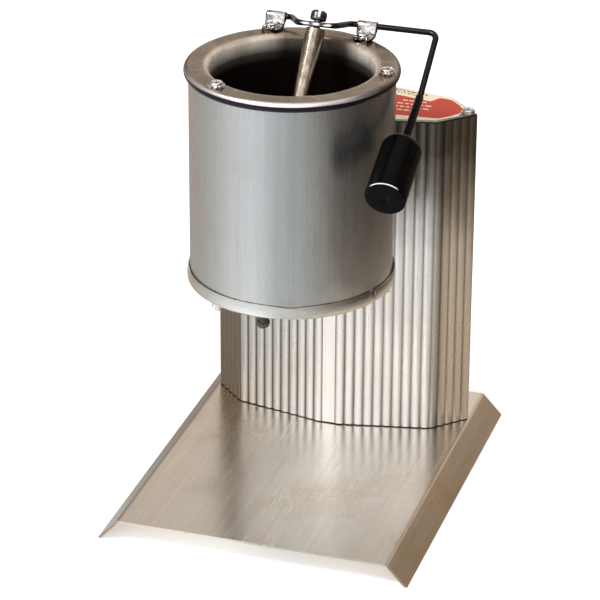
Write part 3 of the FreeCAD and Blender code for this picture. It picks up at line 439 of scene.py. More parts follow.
def brushed(name, light, dark, stain, rough, grain=(1, 1, 60), grain_size=0.35, grain_depth=0.004,
            patch=45.0, metallic=1.0, dents=0.0, extra=None):
    """Sheet metal with fine lines along one direction, cloudy patches and light stains."""
    finish = Finish(name)
    lines = finish.noise(grain_size, grain, detail=3.0, rough=0.6)
    clouds = finish.noise(patch, (1, 1, 1.4), detail=5.0, rough=0.6, distortion=0.6)
    streaks = finish.noise(grain_size * 9, tuple(s * 0.8 for s in grain), detail=4.0)
    specks = finish.noise(1.1, detail=2.0, rough=0.7)
    base = finish.mix(finish.ramp(streaks, (0.32, 0.0), (0.68, 1.0)), dark, light)
    base = finish.mix(finish.ramp(clouds, (0.50, 0.0), (0.78, 1.0)), base, stain)
    base = finish.mix(finish.ramp(specks, (0.70, 0.0), (0.82, 0.5)), base, tuple(c * 0.55 for c in dark))
    fine = finish.ramp(lines, (0.2, 0.86), (0.8, 1.0))
    base = finish.mix(1.0, base, fine, "MULTIPLY")
    if extra:
        base = extra(finish, base)
    low, high = rough
    shine = finish.ramp(finish.sum(clouds, finish.sum(streaks, lines, "MULTIPLY")), (0.35, low), (0.9, high))
    relief = finish.bump(lines, grain_depth)
    if dents:
        relief = finish.bump(finish.noise(22.0, detail=1.0), dents, relief)
    finish.set(base_color=base, metallic=metallic, roughness=shine, normal=relief)
    return finish.material


def plated(name, light, dark, rough, cloud=2.6, metallic=1.0):
    """Small plated or turned parts: bright with cloudy tarnish and fine grime, and painted shade, near black, in
    recesses and along edges where the paint value is low.
    """
    finish = Finish(name)
    clouds = finish.noise(cloud, detail=5.0, distortion=0.8)
    grime = finish.noise(0.8, detail=3.0, rough=0.7)
    base = finish.mix(finish.ramp(clouds, (0.35, 0.0), (0.72, 1.0)), light, dark)
    base = finish.mix(finish.ramp(grime, (0.62, 0.0), (0.8, 0.6)), base, tuple(c * 0.4 for c in dark))
    # Painted shade: near black where the paint value marks recesses and edges.
    base = finish.mix(finish.painted(), tuple(c * 0.12 for c in dark), base)
    shine = finish.ramp(clouds, (0.3, rough[0]), (0.8, rough[1]))
    finish.set(base_color=base, metallic=metallic, roughness=shine, normal=finish.bump(grime, 0.01))
    return finish.material


def moulded(name, colour, scuff, rough, gloss=0.5, grain=0.4, depth=0.006, painted_highlight=None):
    """Paint or plastic: deep even colour, fine orange peel, rubbed spots, dust and, where given, a painted
    highlight on marked edges.
    """
    finish = Finish(name)
    peel = finish.noise(grain, detail=3.0)
    rubs = finish.noise(9.0, (1, 1, 2.5), detail=6.0, rough=0.65, distortion=1.0)
    dust = finish.noise(0.5, detail=2.0, rough=0.8)
    base = finish.mix(finish.ramp(rubs, (0.58, 0.0), (0.8, 0.7)), colour, scuff)
    base = finish.mix(finish.ramp(dust, (0.76, 0.0), (0.88, 0.3)), base, tuple(c * 1.6 + 0.02 for c in scuff))
    if painted_highlight:
        # Painted highlight where the paint value marks an edge.
        scuff_and_highlight = finish.ramp(finish.painted(), (0.15, 1.0), (0.75, 0.0))
        base = finish.mix(scuff_and_highlight, base, painted_highlight)
    shine = finish.ramp(rubs, (0.35, rough[0]), (0.8, rough[1]))
    finish.set(base_color=base, roughness=shine, specular_ior_level=gloss, normal=finish.bump(peel, depth))
    return finish.material


CORNER_X = 0.0662
TOP_SHADE_BOTTOM = 0.142
TOP_SHADE_TOP = 0.216
RIPPLE_SHIFT = 0.025


def rib_grime(finish, base):
    """Painted valley shade, browner corners, a painted shadow on the left, a painted dark reflection under the
    cap.
    """
    # Painted shade in the valleys between the ribs, a little weaker to the right.
    valley = finish.ramp(finish.painted(), (0.0, 1.0), (0.30, 0.66), (0.68, 0.10), (1.0, 0.0))
    depth = finish.span(finish.axis("X"), -0.01, 0.03, 0.95, 0.62)
    base = finish.mix(finish.sum(valley, depth, "MULTIPLY"), base, (0.045, 0.042, 0.042))
    tint = finish.ramp(finish.size(finish.axis("X")),
                       (CORNER_X, (1, 1, 1)), (CORNER_X + 0.001, (0.33, 0.28, 0.23)),
                       (CORNER_X + 0.0045, (0.38, 0.33, 0.27)), (CORNER_X + 0.0075, (0.74, 0.64, 0.52)),
                       (CORNER_X + 0.020, (0.68, 0.58, 0.47)))
    base = finish.mix(1.0, base, tint, "MULTIPLY")
    # Painted shadow of the pot: the front is dimmer towards the left.
    shade = finish.ramp(finish.span(finish.axis("X"), -CORNER_X, 0.0),
                        (0.0, (0.66, 0.64, 0.62)), (0.55, (0.76, 0.75, 0.74)), (0.9, (1, 1, 1)))
    base = finish.mix(1.0, base, shade, "MULTIPLY")
    left = finish.span(finish.axis("X"), -CORNER_X, -CORNER_X - 0.002)
    base = finish.mix(left, base, (0.20, 0.165, 0.125))
    # Painted dark reflection of the pot's shaded back on the column's upper part.
    ripple = finish.sum(finish.noise(14.0, (1, 1, 2.5), detail=3.0), 0.05, "MULTIPLY")
    height = finish.sum(finish.axis("Z"), ripple)
    rise = finish.span(height, TOP_SHADE_BOTTOM + RIPPLE_SHIFT, TOP_SHADE_TOP + RIPPLE_SHIFT)
    top_shaded = finish.mix(1.0, base, (0.17, 0.15, 0.12), "MULTIPLY")
    return finish.mix(finish.ramp(rise, (0.0, 0.0), (0.55, 0.62), (1.0, 1.0)), base, top_shaded)


FLANGE_START = ((0.0884, 0.0), (0.0890, 1.0))


def handled_sheet(finish, base):
    """Painted light: warmer at the left, brighter to the right; painted shade on the left flange; a golden right
    flange.
    """
    # Painted light across the sheet: warmer at the left, brighter to the right.
    across = finish.sum(finish.axis("X"), finish.sum(finish.noise(60.0, detail=4.0), 0.05, "MULTIPLY"))
    across_shading = finish.ramp(finish.span(across, -0.065, 0.11), (0.0, (1.01, 0.91, 0.81)),
                        (0.45, (1.03, 1.01, 0.98)), (0.72, (1.13, 1.10, 1.06)), (1.0, (1.12, 1.05, 0.98)))
    base = finish.mix(1.0, base, across_shading, "MULTIPLY")
    golden = finish.mix(finish.noise(18.0, (1, 3, 1), detail=5.0), (0.80, 0.68, 0.54), (0.50, 0.40, 0.28))
    right = finish.ramp(finish.axis("X"), *FLANGE_START)
    base = finish.mix(right, base, finish.mix(1.0, base, golden, "MULTIPLY"))
    # Painted shade: the left flange is darkened.
    turned = finish.sum(finish.axis("X"), -1.0, "MULTIPLY")
    left = finish.ramp(turned, *FLANGE_START)
    return finish.mix(left, base, finish.mix(1.0, base, (0.56, 0.52, 0.50), "MULTIPLY"))


SIDE_SHADE_BOTTOM = 0.150
SIDE_SHADE_TOP = 0.178


def smoked_side(finish, base):
    """Painted shade over the upper side next to the knob, for the dark reflection there, and painted light below
    it.
    """
    ripple = finish.sum(finish.noise(26.0, (1, 1, 1.6), detail=4.0), 0.05, "MULTIPLY")
    height = finish.sum(finish.axis("Z"), ripple)
    rise = finish.span(height, SIDE_SHADE_BOTTOM + RIPPLE_SHIFT, SIDE_SHADE_TOP + RIPPLE_SHIFT)
    # Painted light below, painted shade above, on the side next to the knob.
    tone = finish.mix(rise, (1.22, 1.18, 1.12), (0.64, 0.63, 0.62))
    side = finish.ramp(finish.sum(finish.axis("X"), finish.sum(ripple, 0.3, "MULTIPLY")),
                       (0.033, 0.0), (0.050, 1.0), (0.066, 0.9))
    return finish.mix(side, base, finish.mix(1.0, base, tone, "MULTIPLY"))


def label_print(name, colour, scuff_and_highlight):
    """Printed ink with slightly uneven cover."""
    finish = Finish(name)
    cover = finish.noise(3.0, detail=6.0, rough=0.7)
    screen = finish.noise(0.5, detail=2.0)
    base = finish.mix(finish.ramp(cover, (0.45, 0.0), (0.8, 0.8)), colour, scuff_and_highlight)
    base = finish.mix(finish.ramp(screen, (0.68, 0.0), (0.8, 0.4)), base, tuple(c * 0.8 for c in colour))
    finish.set(base_color=base, roughness=finish.ramp(cover, (0.3, 0.42), (0.8, 0.6)), specular_ior_level=0.2,
               normal=finish.bump(screen, 0.008))
    return finish.material


def worn_wire():
    """Black enamelled wire with rubbed spots and a painted highlight in bare-steel colour on the flattened part's
    side facing forward and up.
    """
    finish = Finish("black_wire")
    peel = finish.noise(0.7, (6, 1, 1), detail=3.0)
    rubs = finish.noise(5.0, (3, 1, 1), detail=6.0, rough=0.65)
    scuff_and_highlight = finish.ramp(rubs, (0.62, 0.0), (0.8, 0.6))
    enamel = finish.mix(scuff_and_highlight, (0.004, 0.0035, 0.004), (0.03, 0.028, 0.028))
    # Painted highlight: bare-steel colour where the paint value is low.
    bare = finish.ramp(finish.painted(), (0.2, 1.0), (0.6, 0.0))
    base = finish.mix(bare, enamel, (0.92, 0.88, 0.89))
    finish.set(base_color=base, metallic=finish.ramp(bare, (0.2, 0.0), (0.8, 1.0)), specular_ior_level=0.35,
               roughness=finish.ramp(rubs, (0.3, 0.12), (0.8, 0.30)), normal=finish.bump(peel, 0.008))
    return finish.material


BORE_RADIUS = 50.8
WALL_DARK = 0.2855
WALL_LIGHT = 0.2985
CURL_SHADE = 0.3009


def heat_tinted_pot():
    """Heat-browned steel with painted light: highlights at mouth, rim edges, front curl; shade in the bore, under
    the curl.
    """
    finish = Finish("pot_steel")
    rings = finish.noise(0.5, (1, 1, 0.4), detail=3.0)
    clouds = finish.noise(20.0, detail=6.0, rough=0.62, distortion=1.2)
    streaks = finish.noise(5.0, (1, 1, 5), detail=5.0)
    tan = finish.mix(finish.ramp(clouds, (0.34, 0.0), (0.70, 1.0)), (0.44, 0.33, 0.235), (0.27, 0.19, 0.13))
    tan = finish.mix(finish.ramp(streaks, (0.55, 0.0), (0.75, 0.55)), tan, (0.46, 0.38, 0.30))
    split = finish.node("SeparateXYZ", {"Vector": finish.place})
    level = finish.node("CombineXYZ", {
        "X": split.outputs["X"], "Y": finish.sum(split.outputs["Y"], pot_axis().y * MM, "SUBTRACT")})
    radius = finish.length(level.outputs[0])
    wobbly = finish.sum(radius, finish.sum(clouds, 0.002, "MULTIPLY"))
    band = finish.span(wobbly, BORE_RADIUS * MM, 0.0673)
    # Painted highlights near the inner and outer edges of the flat rim.
    ring = finish.ramp(band, (0.0, 1.0), (0.22, 1.0), (0.42, 0.68), (0.70, 0.72), (0.88, 1.0))
    rim = finish.mix(1.0, tan, ring, "MULTIPLY")
    # Painted highlight on the front of the curled edge.
    curl = finish.ramp(band, (0.82, 0.0), (0.93, 1.0))
    toward = finish.sum(pot_axis().y * MM, split.outputs["Y"], "SUBTRACT")
    front = finish.ramp(toward, (0.020, 0.0), (0.046, 1.0))
    rim = finish.mix(curl, rim, finish.mix(front, (0.20, 0.15, 0.12), (0.86, 0.80, 0.79)))
    # Painted shade under the curled edge.
    under = finish.span(split.outputs["Z"], CURL_SHADE, CURL_SHADE - 0.0006)
    rim = finish.mix(finish.sum(curl, under, "MULTIPLY"), rim, (0.035, 0.028, 0.04))
    # Painted highlight round the mouth, and the rod's painted shadow behind it.
    mouth = finish.mix(finish.ramp(streaks, (0.4, 0.0), (0.7, 1.0)), (1.0, 0.90, 0.80), (0.74, 0.64, 0.54))
    rod_shadow = finish.ramp(finish.size(split.outputs["X"]), (0.020, 0.9), (0.031, 0.0))
    mouth = finish.mix(rod_shadow, mouth, (0.07, 0.05, 0.04))
    inside = finish.ramp(radius, (0.0515, 1.0), (0.0535, 0.0))
    shown = finish.mix(inside, rim, mouth)
    # Painted shade deep in the bore.
    height = finish.span(split.outputs["Z"], WALL_DARK, WALL_LIGHT)
    deep = finish.ramp(height, (0.0, 1.0), (0.45, 0.92), (1.0, 0.0))
    bore = finish.ramp(radius, (0.056, 1.0), (0.058, 0.0))
    base = finish.mix(finish.sum(deep, bore, "MULTIPLY"), shown, (0.008, 0.005, 0.004))
    finish.set(base_color=base, metallic=finish.ramp(inside, (0.0, 0.92), (1.0, 0.35)),
               specular_ior_level=0.15, roughness=finish.ramp(clouds, (0.3, 0.20), (0.75, 0.34)),
               normal=finish.bump(rings, 0.008))
    return finish.material


def sheet_finishes():
    return {
        "base_sheet": brushed(
            "base_sheet", (0.86, 0.83, 0.79), (0.76, 0.72, 0.67), (0.72, 0.62, 0.50), (0.16, 0.28),
            grain=(1, 50, 1), dents=0.02, patch=70.0, extra=handled_sheet),
        "column_extrusion": brushed(
            "column_extrusion", (0.98, 0.98, 0.98), (0.92, 0.92, 0.91), (0.86, 0.83, 0.79), (0.20, 0.34),
            metallic=0.70, patch=60.0, extra=rib_grime),
        "cap_sheet": brushed(
            "cap_sheet", (0.40, 0.39, 0.37), (0.30, 0.29, 0.27), (0.28, 0.24, 0.20), (0.3, 0.42),
            grain=(50, 1, 1)),
        "sleeve_steel": brushed(
            "sleeve_steel", (0.675, 0.675, 0.675), (0.63, 0.62, 0.605), (0.60, 0.56, 0.51), (0.21, 0.33),
            metallic=0.95, grain=(1, 1, 90), grain_size=0.5, dents=0.05, patch=55.0, extra=smoked_side),
        "pan_steel": brushed(
            "pan_steel", (0.96, 0.95, 0.92), (0.86, 0.82, 0.77), (0.74, 0.66, 0.57), (0.16, 0.28),
            grain=(20, 20, 1)),
        "bracket_steel": brushed(
            "bracket_steel", (0.55, 0.54, 0.52), (0.42, 0.41, 0.39), (0.36, 0.30, 0.24), (0.34, 0.5),
            patch=25.0),
        "rod_steel": brushed(
            "rod_steel", (0.44, 0.38, 0.31), (0.24, 0.18, 0.13), (0.17, 0.12, 0.08), (0.14, 0.26),
            grain=(1, 1, 30), patch=14.0),
        "pot_steel": heat_tinted_pot(),
    }


def plated_finishes():
    colours = {
        "zinc_fasteners": ((0.95, 0.93, 0.92), (0.66, 0.61, 0.57), (0.16, 0.30)),
        "clip_steel": ((0.78, 0.75, 0.74), (0.15, 0.13, 0.12), (0.12, 0.26), 2.4),
        "shaft_steel": ((0.7, 0.69, 0.67), (0.5, 0.48, 0.45), (0.2, 0.32)),
        "spout_steel": ((0.13, 0.115, 0.105), (0.05, 0.042, 0.038), (0.18, 0.34), 2.6, 0.7),
        "terminal_brass": ((0.78, 0.60, 0.30), (0.5, 0.36, 0.18), (0.24, 0.4)),
        "dial_metal": ((0.66, 0.65, 0.62), (0.5, 0.49, 0.46), (0.3, 0.42), 14.0),
        "screw_dark": ((0.20, 0.185, 0.18), (0.07, 0.06, 0.056), (0.22, 0.38)),
    }
    return {name: plated(name, *look) for name, look in colours.items()}


def moulded_finishes():
    return {
        "black_wire": worn_wire(),
        "black_knob": moulded(
            "black_knob", (0.0016, 0.0014, 0.0012), (0.007, 0.007, 0.007), (0.08, 0.20), gloss=0.07,
            painted_highlight=(0.80, 0.80, 0.82)),
        "black_plastic": moulded("black_plastic", (0.014, 0.014, 0.015), (0.05, 0.048, 0.045), (0.32, 0.5)),
        "mica_band": moulded("mica_band", (0.42, 0.38, 0.30), (0.55, 0.50, 0.42), (0.4, 0.6), depth=0.03),
        "mineral_fibre": moulded(
            "mineral_fibre", (0.72, 0.69, 0.62), (0.60, 0.56, 0.48), (0.85, 0.95), depth=0.15),
        "block_ceramic": moulded("block_ceramic", (0.78, 0.76, 0.70), (0.62, 0.58, 0.50), (0.25, 0.4)),
        "glass_sleeving": moulded(
            "glass_sleeving", (0.66, 0.60, 0.50), (0.5, 0.44, 0.36), (0.7, 0.85), depth=0.05),
    }


def printed_finishes():
    inks = {
        "printed_label": ((0.80, 0.66, 0.49), (0.70, 0.56, 0.42)),
        "label_red": ((0.46, 0.048, 0.028), (0.50, 0.085, 0.05)),
        "label_dark": ((0.10, 0.075, 0.06), (0.2, 0.15, 0.12)),
        "label_cream": ((0.82, 0.62, 0.46), (0.72, 0.45, 0.34)),
        "dial_print": ((0.02, 0.02, 0.02), (0.06, 0.06, 0.06)),
        "dial_white": ((0.82, 0.81, 0.78), (0.7, 0.68, 0.64)),
    }
    return {name: label_print(name, *colours) for name, colours in inks.items()}


# One finish for every material slot of the record, and a few more for print and dark steel.
FINISHES = {**sheet_finishes(), **plated_finishes(), **moulded_finishes(), **printed_finishes()}


def paint_frame_nodes():
    """Gives every frame node the finish of its slot."""
    for part in record["subparts"]:
        mesh = frame["nodes"][part["node"]].data
        mesh.materials.clear()
        mesh.materials.append(FINISHES[part["material_slot"]])


# ------------------------------------------------------------------ base plate

PLATE_SHEET = 1.5
PLATE_FLANGE = 13.3
PLATE_BEND = 2.6
PLATE_DIP = 0.35


def base_plate():
    """Folded sheet with rounded bends and the faint hollows of a hand-handled panel."""
    low, high = box_mm("base_plate")
    half = high.x - PLATE_FLANGE
    slope = math.atan2(high.z, PLATE_FLANGE)
    foot = PLATE_SHEET / math.sin(slope)
    inset = PLATE_SHEET * math.tan(slope / 2)
    under = high.z - PLATE_SHEET
    outer = bend_path([(-high.x, 0), (-half, high.z), (half, high.z), (high.x, 0)], PLATE_BEND, 8)
    inner = bend_path([(high.x - foot, 0), (half - inset, under), (inset - half, under), (foot - high.x, 0)],
                      PLATE_BEND - PLATE_SHEET, 8)
    outline = subdivide(outer, 5.0) + subdivide(inner, 5.0)
    stations = 52
    rows = []
    for step in range(stations + 1):
        y = low.y + (high.y - low.y) * step / stations
        row = []
        for point in outline:
            flat = max(0.0, 1 - abs(point.x) / half) ** 0.5
            dip = PLATE_DIP * flat * (0.5 + noise.noise(Vector((point.x / 48, y / 55, 3.1))))
            z = point.y - max(0.0, dip) if point.y > 1.0 else point.y
            row.append((point.x, y, z))
        rows.append(row)
    shape = Shape().skin(rows)
    return add_piece("base_plate_sheet", shape, "frame", "base_sheet", ("base_plate",))


# ------------------------------------------------------------------ column

CAP_INSET = 0.4
STRIP_HALF = 4.475
FACETS = ((63.4, 12.0, 10), (30.2, 45.0, 5))
STRIP_EDGE = 0.5
RIB_RISE = 1.0
RIB_STEPS = 12
COLUMN_WALL = 1.8
FOOT_GAP = 0.55
CHANNEL_RADIUS = 3.6
CHANNEL_BORE = 1.75
CHANNEL_INSET = 5.8
CORD_HOLE = 5.5


def column_centre_y():
    return centre_mm("column_cap").y


def column_front_y():
    return box_mm("column_cap")[0].y - CAP_INSET


def quarter_corners():
    """Plain corners of the column's front right quarter, from the strip to the side corner."""
    x, y = STRIP_HALF, column_front_y()
    corners = [Vector((x, y))]
    for length, degrees, _ in FACETS:
        x += length * math.cos(math.radians(degrees))
        y += length * math.sin(math.radians(degrees))
        corners.append(Vector((x, y)))
    return corners


def ribbed_quarter():
    """Points from the front strip to the side corner, each with its height on the rib from 0 to 1."""
    corners = quarter_corners()
    line = []
    for start, end, facet in zip(corners, corners[1:], FACETS):
        ribs = facet[2]
        outward = Vector(((end - start).y, -(end - start).x)).normalized()
        half = (end - start).length / ribs / 2
        radius = (half * half + RIB_RISE * RIB_RISE) / (2 * RIB_RISE)
        for rib in range(ribs):
            for step in range(RIB_STEPS):
                along = (rib + step / RIB_STEPS) / ribs
                off = (step / RIB_STEPS - 0.5) * 2 * half
                rise = math.sqrt(radius * radius - off * off) - (radius - RIB_RISE)
                line.append((start + (end - start) * along + outward * rise, rise / RIB_RISE))
    line.append((corners[-1], 0.0))
    return line


def plain_half(inset):
    """Front half of the plain outline moved inwards, from the right side corner to the left."""
    corners = quarter_corners()
    centre = Vector((0, column_centre_y()))
    tight = [corner + (centre - corner).normalized() * inset for corner in corners]
    tight[0] = Vector((STRIP_HALF - inset * 0.1, corners[0].y + inset))
    tight[-1] = Vector((corners[-1].x - inset * math.sqrt(2), corners[-1].y))
    left = [Vector((-point.x, point.y)) for point in tight]
    return list(reversed(tight)) + left


def column_shell(name, node, front):
    """One ribbed half shell with its screw channel; the rear one has the hole for the cord bush."""
    low, high = box_mm(node)
    right = [(Vector((0, column_front_y())), 1.0), (Vector((STRIP_HALF - STRIP_EDGE, column_front_y())), 1.0)]
    right += ribbed_quarter()
    left = [(Vector((-point.x, point.y)), crest) for point, crest in reversed(right[1:])]
    outside = left + right
    inside = [(point, 1.0) for point in plain_half(COLUMN_WALL)]
    outline = outside + inside
    bottom, top = low.z + FOOT_GAP, high.z
    rows = [[(point.x, point.y, z) for point, _crest in outline] for z in (bottom, top)]
    # Each point's height on its rib becomes its paint value, for the painted shade in the valleys.
    shape = Shape().skin(rows, paint=[[crest for _point, crest in outline]] * 2)
    middle = column_centre_y()
    corner = quarter_corners()[-1]
    channel = [(CHANNEL_BORE, bottom), (CHANNEL_RADIUS, bottom), (CHANNEL_RADIUS, top), (CHANNEL_BORE, top)]
    shape.lathe(channel, 36, (corner.x - CHANNEL_INSET, middle, 0))
    if not front:
        shape.points = [Vector((-point.x, 2 * middle - point.y, point.z)) for point in shape.points]
    piece = add_piece(name, shape, "frame", "column_extrusion", (node,), sharp=CREASE)
    if not front:
        bush = centre_mm("cord_bush")
        drill(piece, Vector((bush.x, high.y - COLUMN_WALL, bush.z)), Y_AXIS, CORD_HOLE, 6 * COLUMN_WALL)
    return piece


def column_outline():
    """The whole plain outline, anticlockwise."""
    quarter = quarter_corners()
    middle = column_centre_y()
    right = quarter + [Vector((p.x, 2 * middle - p.y)) for p in reversed(quarter[:-1])]
    return right + [Vector((-p.x, p.y)) for p in reversed(right)]


def column_cap():
    low, high = box_mm("column_cap")
    outline = convex_inset(column_outline(), CAP_INSET)
    shape = soft_plate(outline, low.z, high.z, CAP_CHAMFER)
    return add_piece("column_cap_plate", shape, "frame", "cap_sheet", ("column_cap",))


# ------------------------------------------------------------------ label

LABEL_MARGIN = 1.6
INK = 0.04
FRONT_BORDER = 7.2
SIDE_BORDER = 3.6
REAR_BORDER = 3.0
REAR_STRIP = 9.0
STRIP_REACH = 56.0
STRIP_STEP = 3.0
FIELD_REACH = 77.0
WORD_GAP = (0.7, 1.5)
FIELD_ROUND = 4.0
BORDER_CHANGE = 30.0
PLATE_CHAMFER = 0.06
CAP_CHAMFER = 0.3


def outline_span(x, inset):
    """Front and rear y of the plain outline at an x, moved inwards."""
    corners = quarter_corners()
    reach = abs(x)
    y = corners[0].y
    for a, b in zip(corners, corners[1:]):
        if reach > a.x:
            share = min(1.0, (reach - a.x) / (b.x - a.x))
            y = a.y + (b.y - a.y) * share
    front = y + inset
    return front, 2 * column_centre_y() - front


def label_plate():
    low, high = box_mm("cap_label")
    outline = clip_outline(convex_inset(column_outline(), LABEL_MARGIN), high.x)
    shape = soft_plate(outline, low.z, high.z - INK, PLATE_CHAMFER)
    return add_piece("cap_label_plate", shape, "frame", "printed_label", ("cap_label",))


def label_field():
    """The red field: stops short for the strip of small print along the rear edge."""
    top = box_mm("cap_label")[1].z
    corner_x = quarter_corners()[1].x
    steps = 90
    rows = []
    for step in range(steps + 1):
        x = -FIELD_REACH + 2 * FIELD_REACH * step / steps
        sideways = smooth_step(abs(x), corner_x - BORDER_CHANGE, corner_x)
        front = outline_span(x, LABEL_MARGIN + FRONT_BORDER + (SIDE_BORDER - FRONT_BORDER) * sideways)[0]
        rear = outline_span(x, LABEL_MARGIN + REAR_BORDER)[1]
        rear -= REAR_STRIP * (1 - smooth_step(abs(x), STRIP_REACH - STRIP_STEP, STRIP_REACH + STRIP_STEP))
        middle = (front + rear) / 2
        kept = 0.7 + 0.3 * smooth_step(FIELD_REACH - abs(x), 0.0, FIELD_ROUND)
        front = middle + (front - middle) * kept
        rear = middle + (rear - middle) * kept
        low, high = top - 2 * INK, top - INK / 2
        rows.append([(x, front, low), (x, rear, low), (x, rear, high), (x, front, high)])
    return add_piece("cap_label_field", Shape().skin(rows), "frame", "printed_label", finish="label_red")


def dash(shape, x, y, length, depth, top, slant):
    """One thin printed mark, turned to follow the edge."""
    along = Vector((math.cos(slant), math.sin(slant), 0)) * (length / 2)
    across = Vector((-math.sin(slant), math.cos(slant), 0)) * (depth / 2)
    rows = []
    for z in (top - 2 * INK, top):
        centre = Vector((x, y, z))
        rows.append([centre - along - across, centre + along - across, centre + along + across,
                     centre - along + across])
    shape.skin(rows)


def printed_rows(name, rows, finish, seed):
    """Rows of generic marks: each row is (x from, x to, y at x, depth, shortest, longest)."""
    chance = random.Random(seed)
    top = box_mm("cap_label")[1].z
    shape = Shape()
    for first, last, y_at, depth, shortest, longest in rows:
        x = first
        while x < last:
            length = chance.uniform(shortest, longest)
            if x + length > last:
                break
            middle = x + length / 2
            slope = math.atan2(y_at(middle + 0.5) - y_at(middle - 0.5), 1.0)
            dash(shape, middle, y_at(middle), length, depth, top, slope)
            x += length + chance.uniform(*WORD_GAP)
    return add_piece(name, shape, "frame", "printed_label", finish=finish)


def label_marks():
    """Small print without words: dark marks on the rear strip, cream marks on the field."""
    def rear(inset):
        return lambda x: outline_span(x, inset)[1]

    def level(offset):
        return lambda x: column_centre_y() + offset
    printed_rows("cap_label_rear_marks", [
        (-50, 50, rear(5.0), 1.9, 1.0, 3.2),
        (-50, 50, rear(8.6), 1.7, 0.9, 2.6),
    ], "label_dark", 4)
    cream = []
    for first, last in ((-58, -34), (-27, 27), (33, 58)):
        for offset in (-9.0, -3.5, 2.0, 7.5):
            cream.append((first + abs(offset) * 0.4, last - abs(offset) * 0.3, level(offset), 1.5, 1.2, 4.6))
    printed_rows("cap_label_field_marks", cream, "label_cream", 11)


# ------------------------------------------------------------------ fasteners

HEAD_RADIUS = 4.0
HEAD_HEIGHT = 2.9
RECESS_LENGTH = 4.8
RECESS_WIDTH = 1.2
RECESS_DEPTH = 1.7
RECESS_EDGE = 0.30
WASHER_TEETH = 9
WASHER_HALF_SHEET = 0.3
WASHER_RING = ((2.15, 0.06), (4.2, 0.06), (4.25, 0.3), (4.15, 0.64), (2.15, 0.64), (2.1, 0.35))
# A tooth from its root to its tip: reach, half width, twist in degrees and rise.
WASHER_TOOTH = ((3.9, 1.0, 4, 0.36), (4.5, 1.05, 16, 0.50), (5.25, 0.85, 24, 0.72))
THREAD_PITCH = 0.7
THREAD_DEPTH = 0.16


def recess(x, y, length, width):
    """How deep the cross recess is at a point, as a share."""
    def bar(a, b):
        along = 1 - smooth_step(abs(a), length / 2 - RECESS_EDGE, length / 2 + RECESS_EDGE)
        across = 1 - smooth_step(abs(b), width / 2 - RECESS_EDGE, width / 2 + RECESS_EDGE)
        return along * across
    return max(bar(x, y), bar(y, x))


def screw_head(radius=HEAD_RADIUS, height=HEAD_HEIGHT, sectors=72, rings=22, turn=0.0):
    """A domed head with a cross recess, seated on z = 0."""
    rows = []
    paint = []
    size = radius / HEAD_RADIUS
    for ring in range(rings + 1):
        share = math.sin(math.pi / 2 * ring / rings)
        r = radius * share
        dome = height * (0.62 + 0.38 * math.sqrt(max(0.0, 1 - share ** 2.6)))
        row = []
        shade = []
        for sector in range(sectors):
            angle = 2 * math.pi * sector / sectors
            x, y = r * math.cos(angle), r * math.sin(angle)
            u = x * math.cos(turn) + y * math.sin(turn)
            v = y * math.cos(turn) - x * math.sin(turn)
            cut = recess(u, v, RECESS_LENGTH * size, RECESS_WIDTH * size)
            row.append((x, y, dome - RECESS_DEPTH * size * cut))
            # Painted shade in the cross recess.
            shade.append(1.0 - 0.96 * smooth_step(cut, 0.25, 0.9))
        rows.append(row)
        paint.append(shade)
    edge = [(radius * math.cos(2 * math.pi * s / sectors), radius * math.sin(2 * math.pi * s / sectors))
            for s in range(sectors)]
    rows.append([(x, y, 0.25) for x, y in edge])
    rows.append([(x * 0.96, y * 0.96, 0.0) for x, y in edge])
    rows.append([(0.0, 0.0, 0.0)] * sectors)
    # Slight painted shade round the head's lower edge.
    paint += [[0.9] * sectors] * 3
    return Shape().skin(rows, caps=False, paint=paint)


def threaded_shaft(radius, length, thread):
    """A shaft along -Z whose last part is threaded."""
    profile = [(0, 0), (radius, 0), (radius, thread - length)]
    z = thread - length
    while z > 0.5 - length:
        profile += [(radius, z), (radius - THREAD_DEPTH, z - THREAD_PITCH / 2)]
        z -= THREAD_PITCH
    profile += [(radius * 0.75, -length), (0, -length)]
    return Shape().lathe(profile, 32)


def screw(origin, axis, length, radius, turn=0.0, thread=8.0, size=1.0):
    made = screw_head(HEAD_RADIUS * size, HEAD_HEIGHT * size, turn=turn)
    made.join(threaded_shaft(radius, length, min(thread, length - 1)))
    return made.place(origin, axis)


def tooth_washer(origin, turn):
    """A cupped lock washer: a flat ring whose separate teeth rise and twist outwards."""
    made = Shape().lathe(WASHER_RING, 60)
    # Painted shade over the flat ring under the teeth.
    made.paint = [0.3] * len(made.paint)
    for tooth in range(WASHER_TEETH):
        angle = 2 * math.pi * tooth / WASHER_TEETH + turn
        out = Vector((math.cos(angle), math.sin(angle), 0))
        side = Vector((-math.sin(angle), math.cos(angle), 0))
        rows = []
        for reach, half, twist, rise in WASHER_TOOTH:
            lean = side * math.cos(math.radians(twist)) + Z_AXIS * math.sin(math.radians(twist))
            thick = out.cross(lean) * WASHER_HALF_SHEET
            centre = out * reach + Z_AXIS * rise
            rows.append([centre - lean * half - thick, centre + lean * half - thick,
                         centre + lean * half + thick, centre - lean * half + thick])
        made.skin(rows)
    return made.place(origin)


def node_islands(node):
    """Lowest and highest corner of each solid of a group, in millimetres, from left to right."""
    mesh = frame["nodes"][node].data
    bm = bmesh.new()
    bm.from_mesh(mesh)
    bmesh.ops.remove_doubles(bm, verts=bm.verts, dist=1e-6)
    seen = set()
    islands = []
    for start in bm.verts:
        if start in seen:
            continue
        stack, island = [start], []
        seen.add(start)
        while stack:
            vertex = stack.pop()
            island.append(vertex.co / MM)
            for edge in vertex.link_edges:
                other = edge.other_vert(vertex)
                if other not in seen:
                    seen.add(other)
                    stack.append(other)
        islands.append((Vector(map(min, *island)), Vector(map(max, *island))))
    bm.free()
    return sorted(islands, key=lambda pair: tuple(pair[0]))


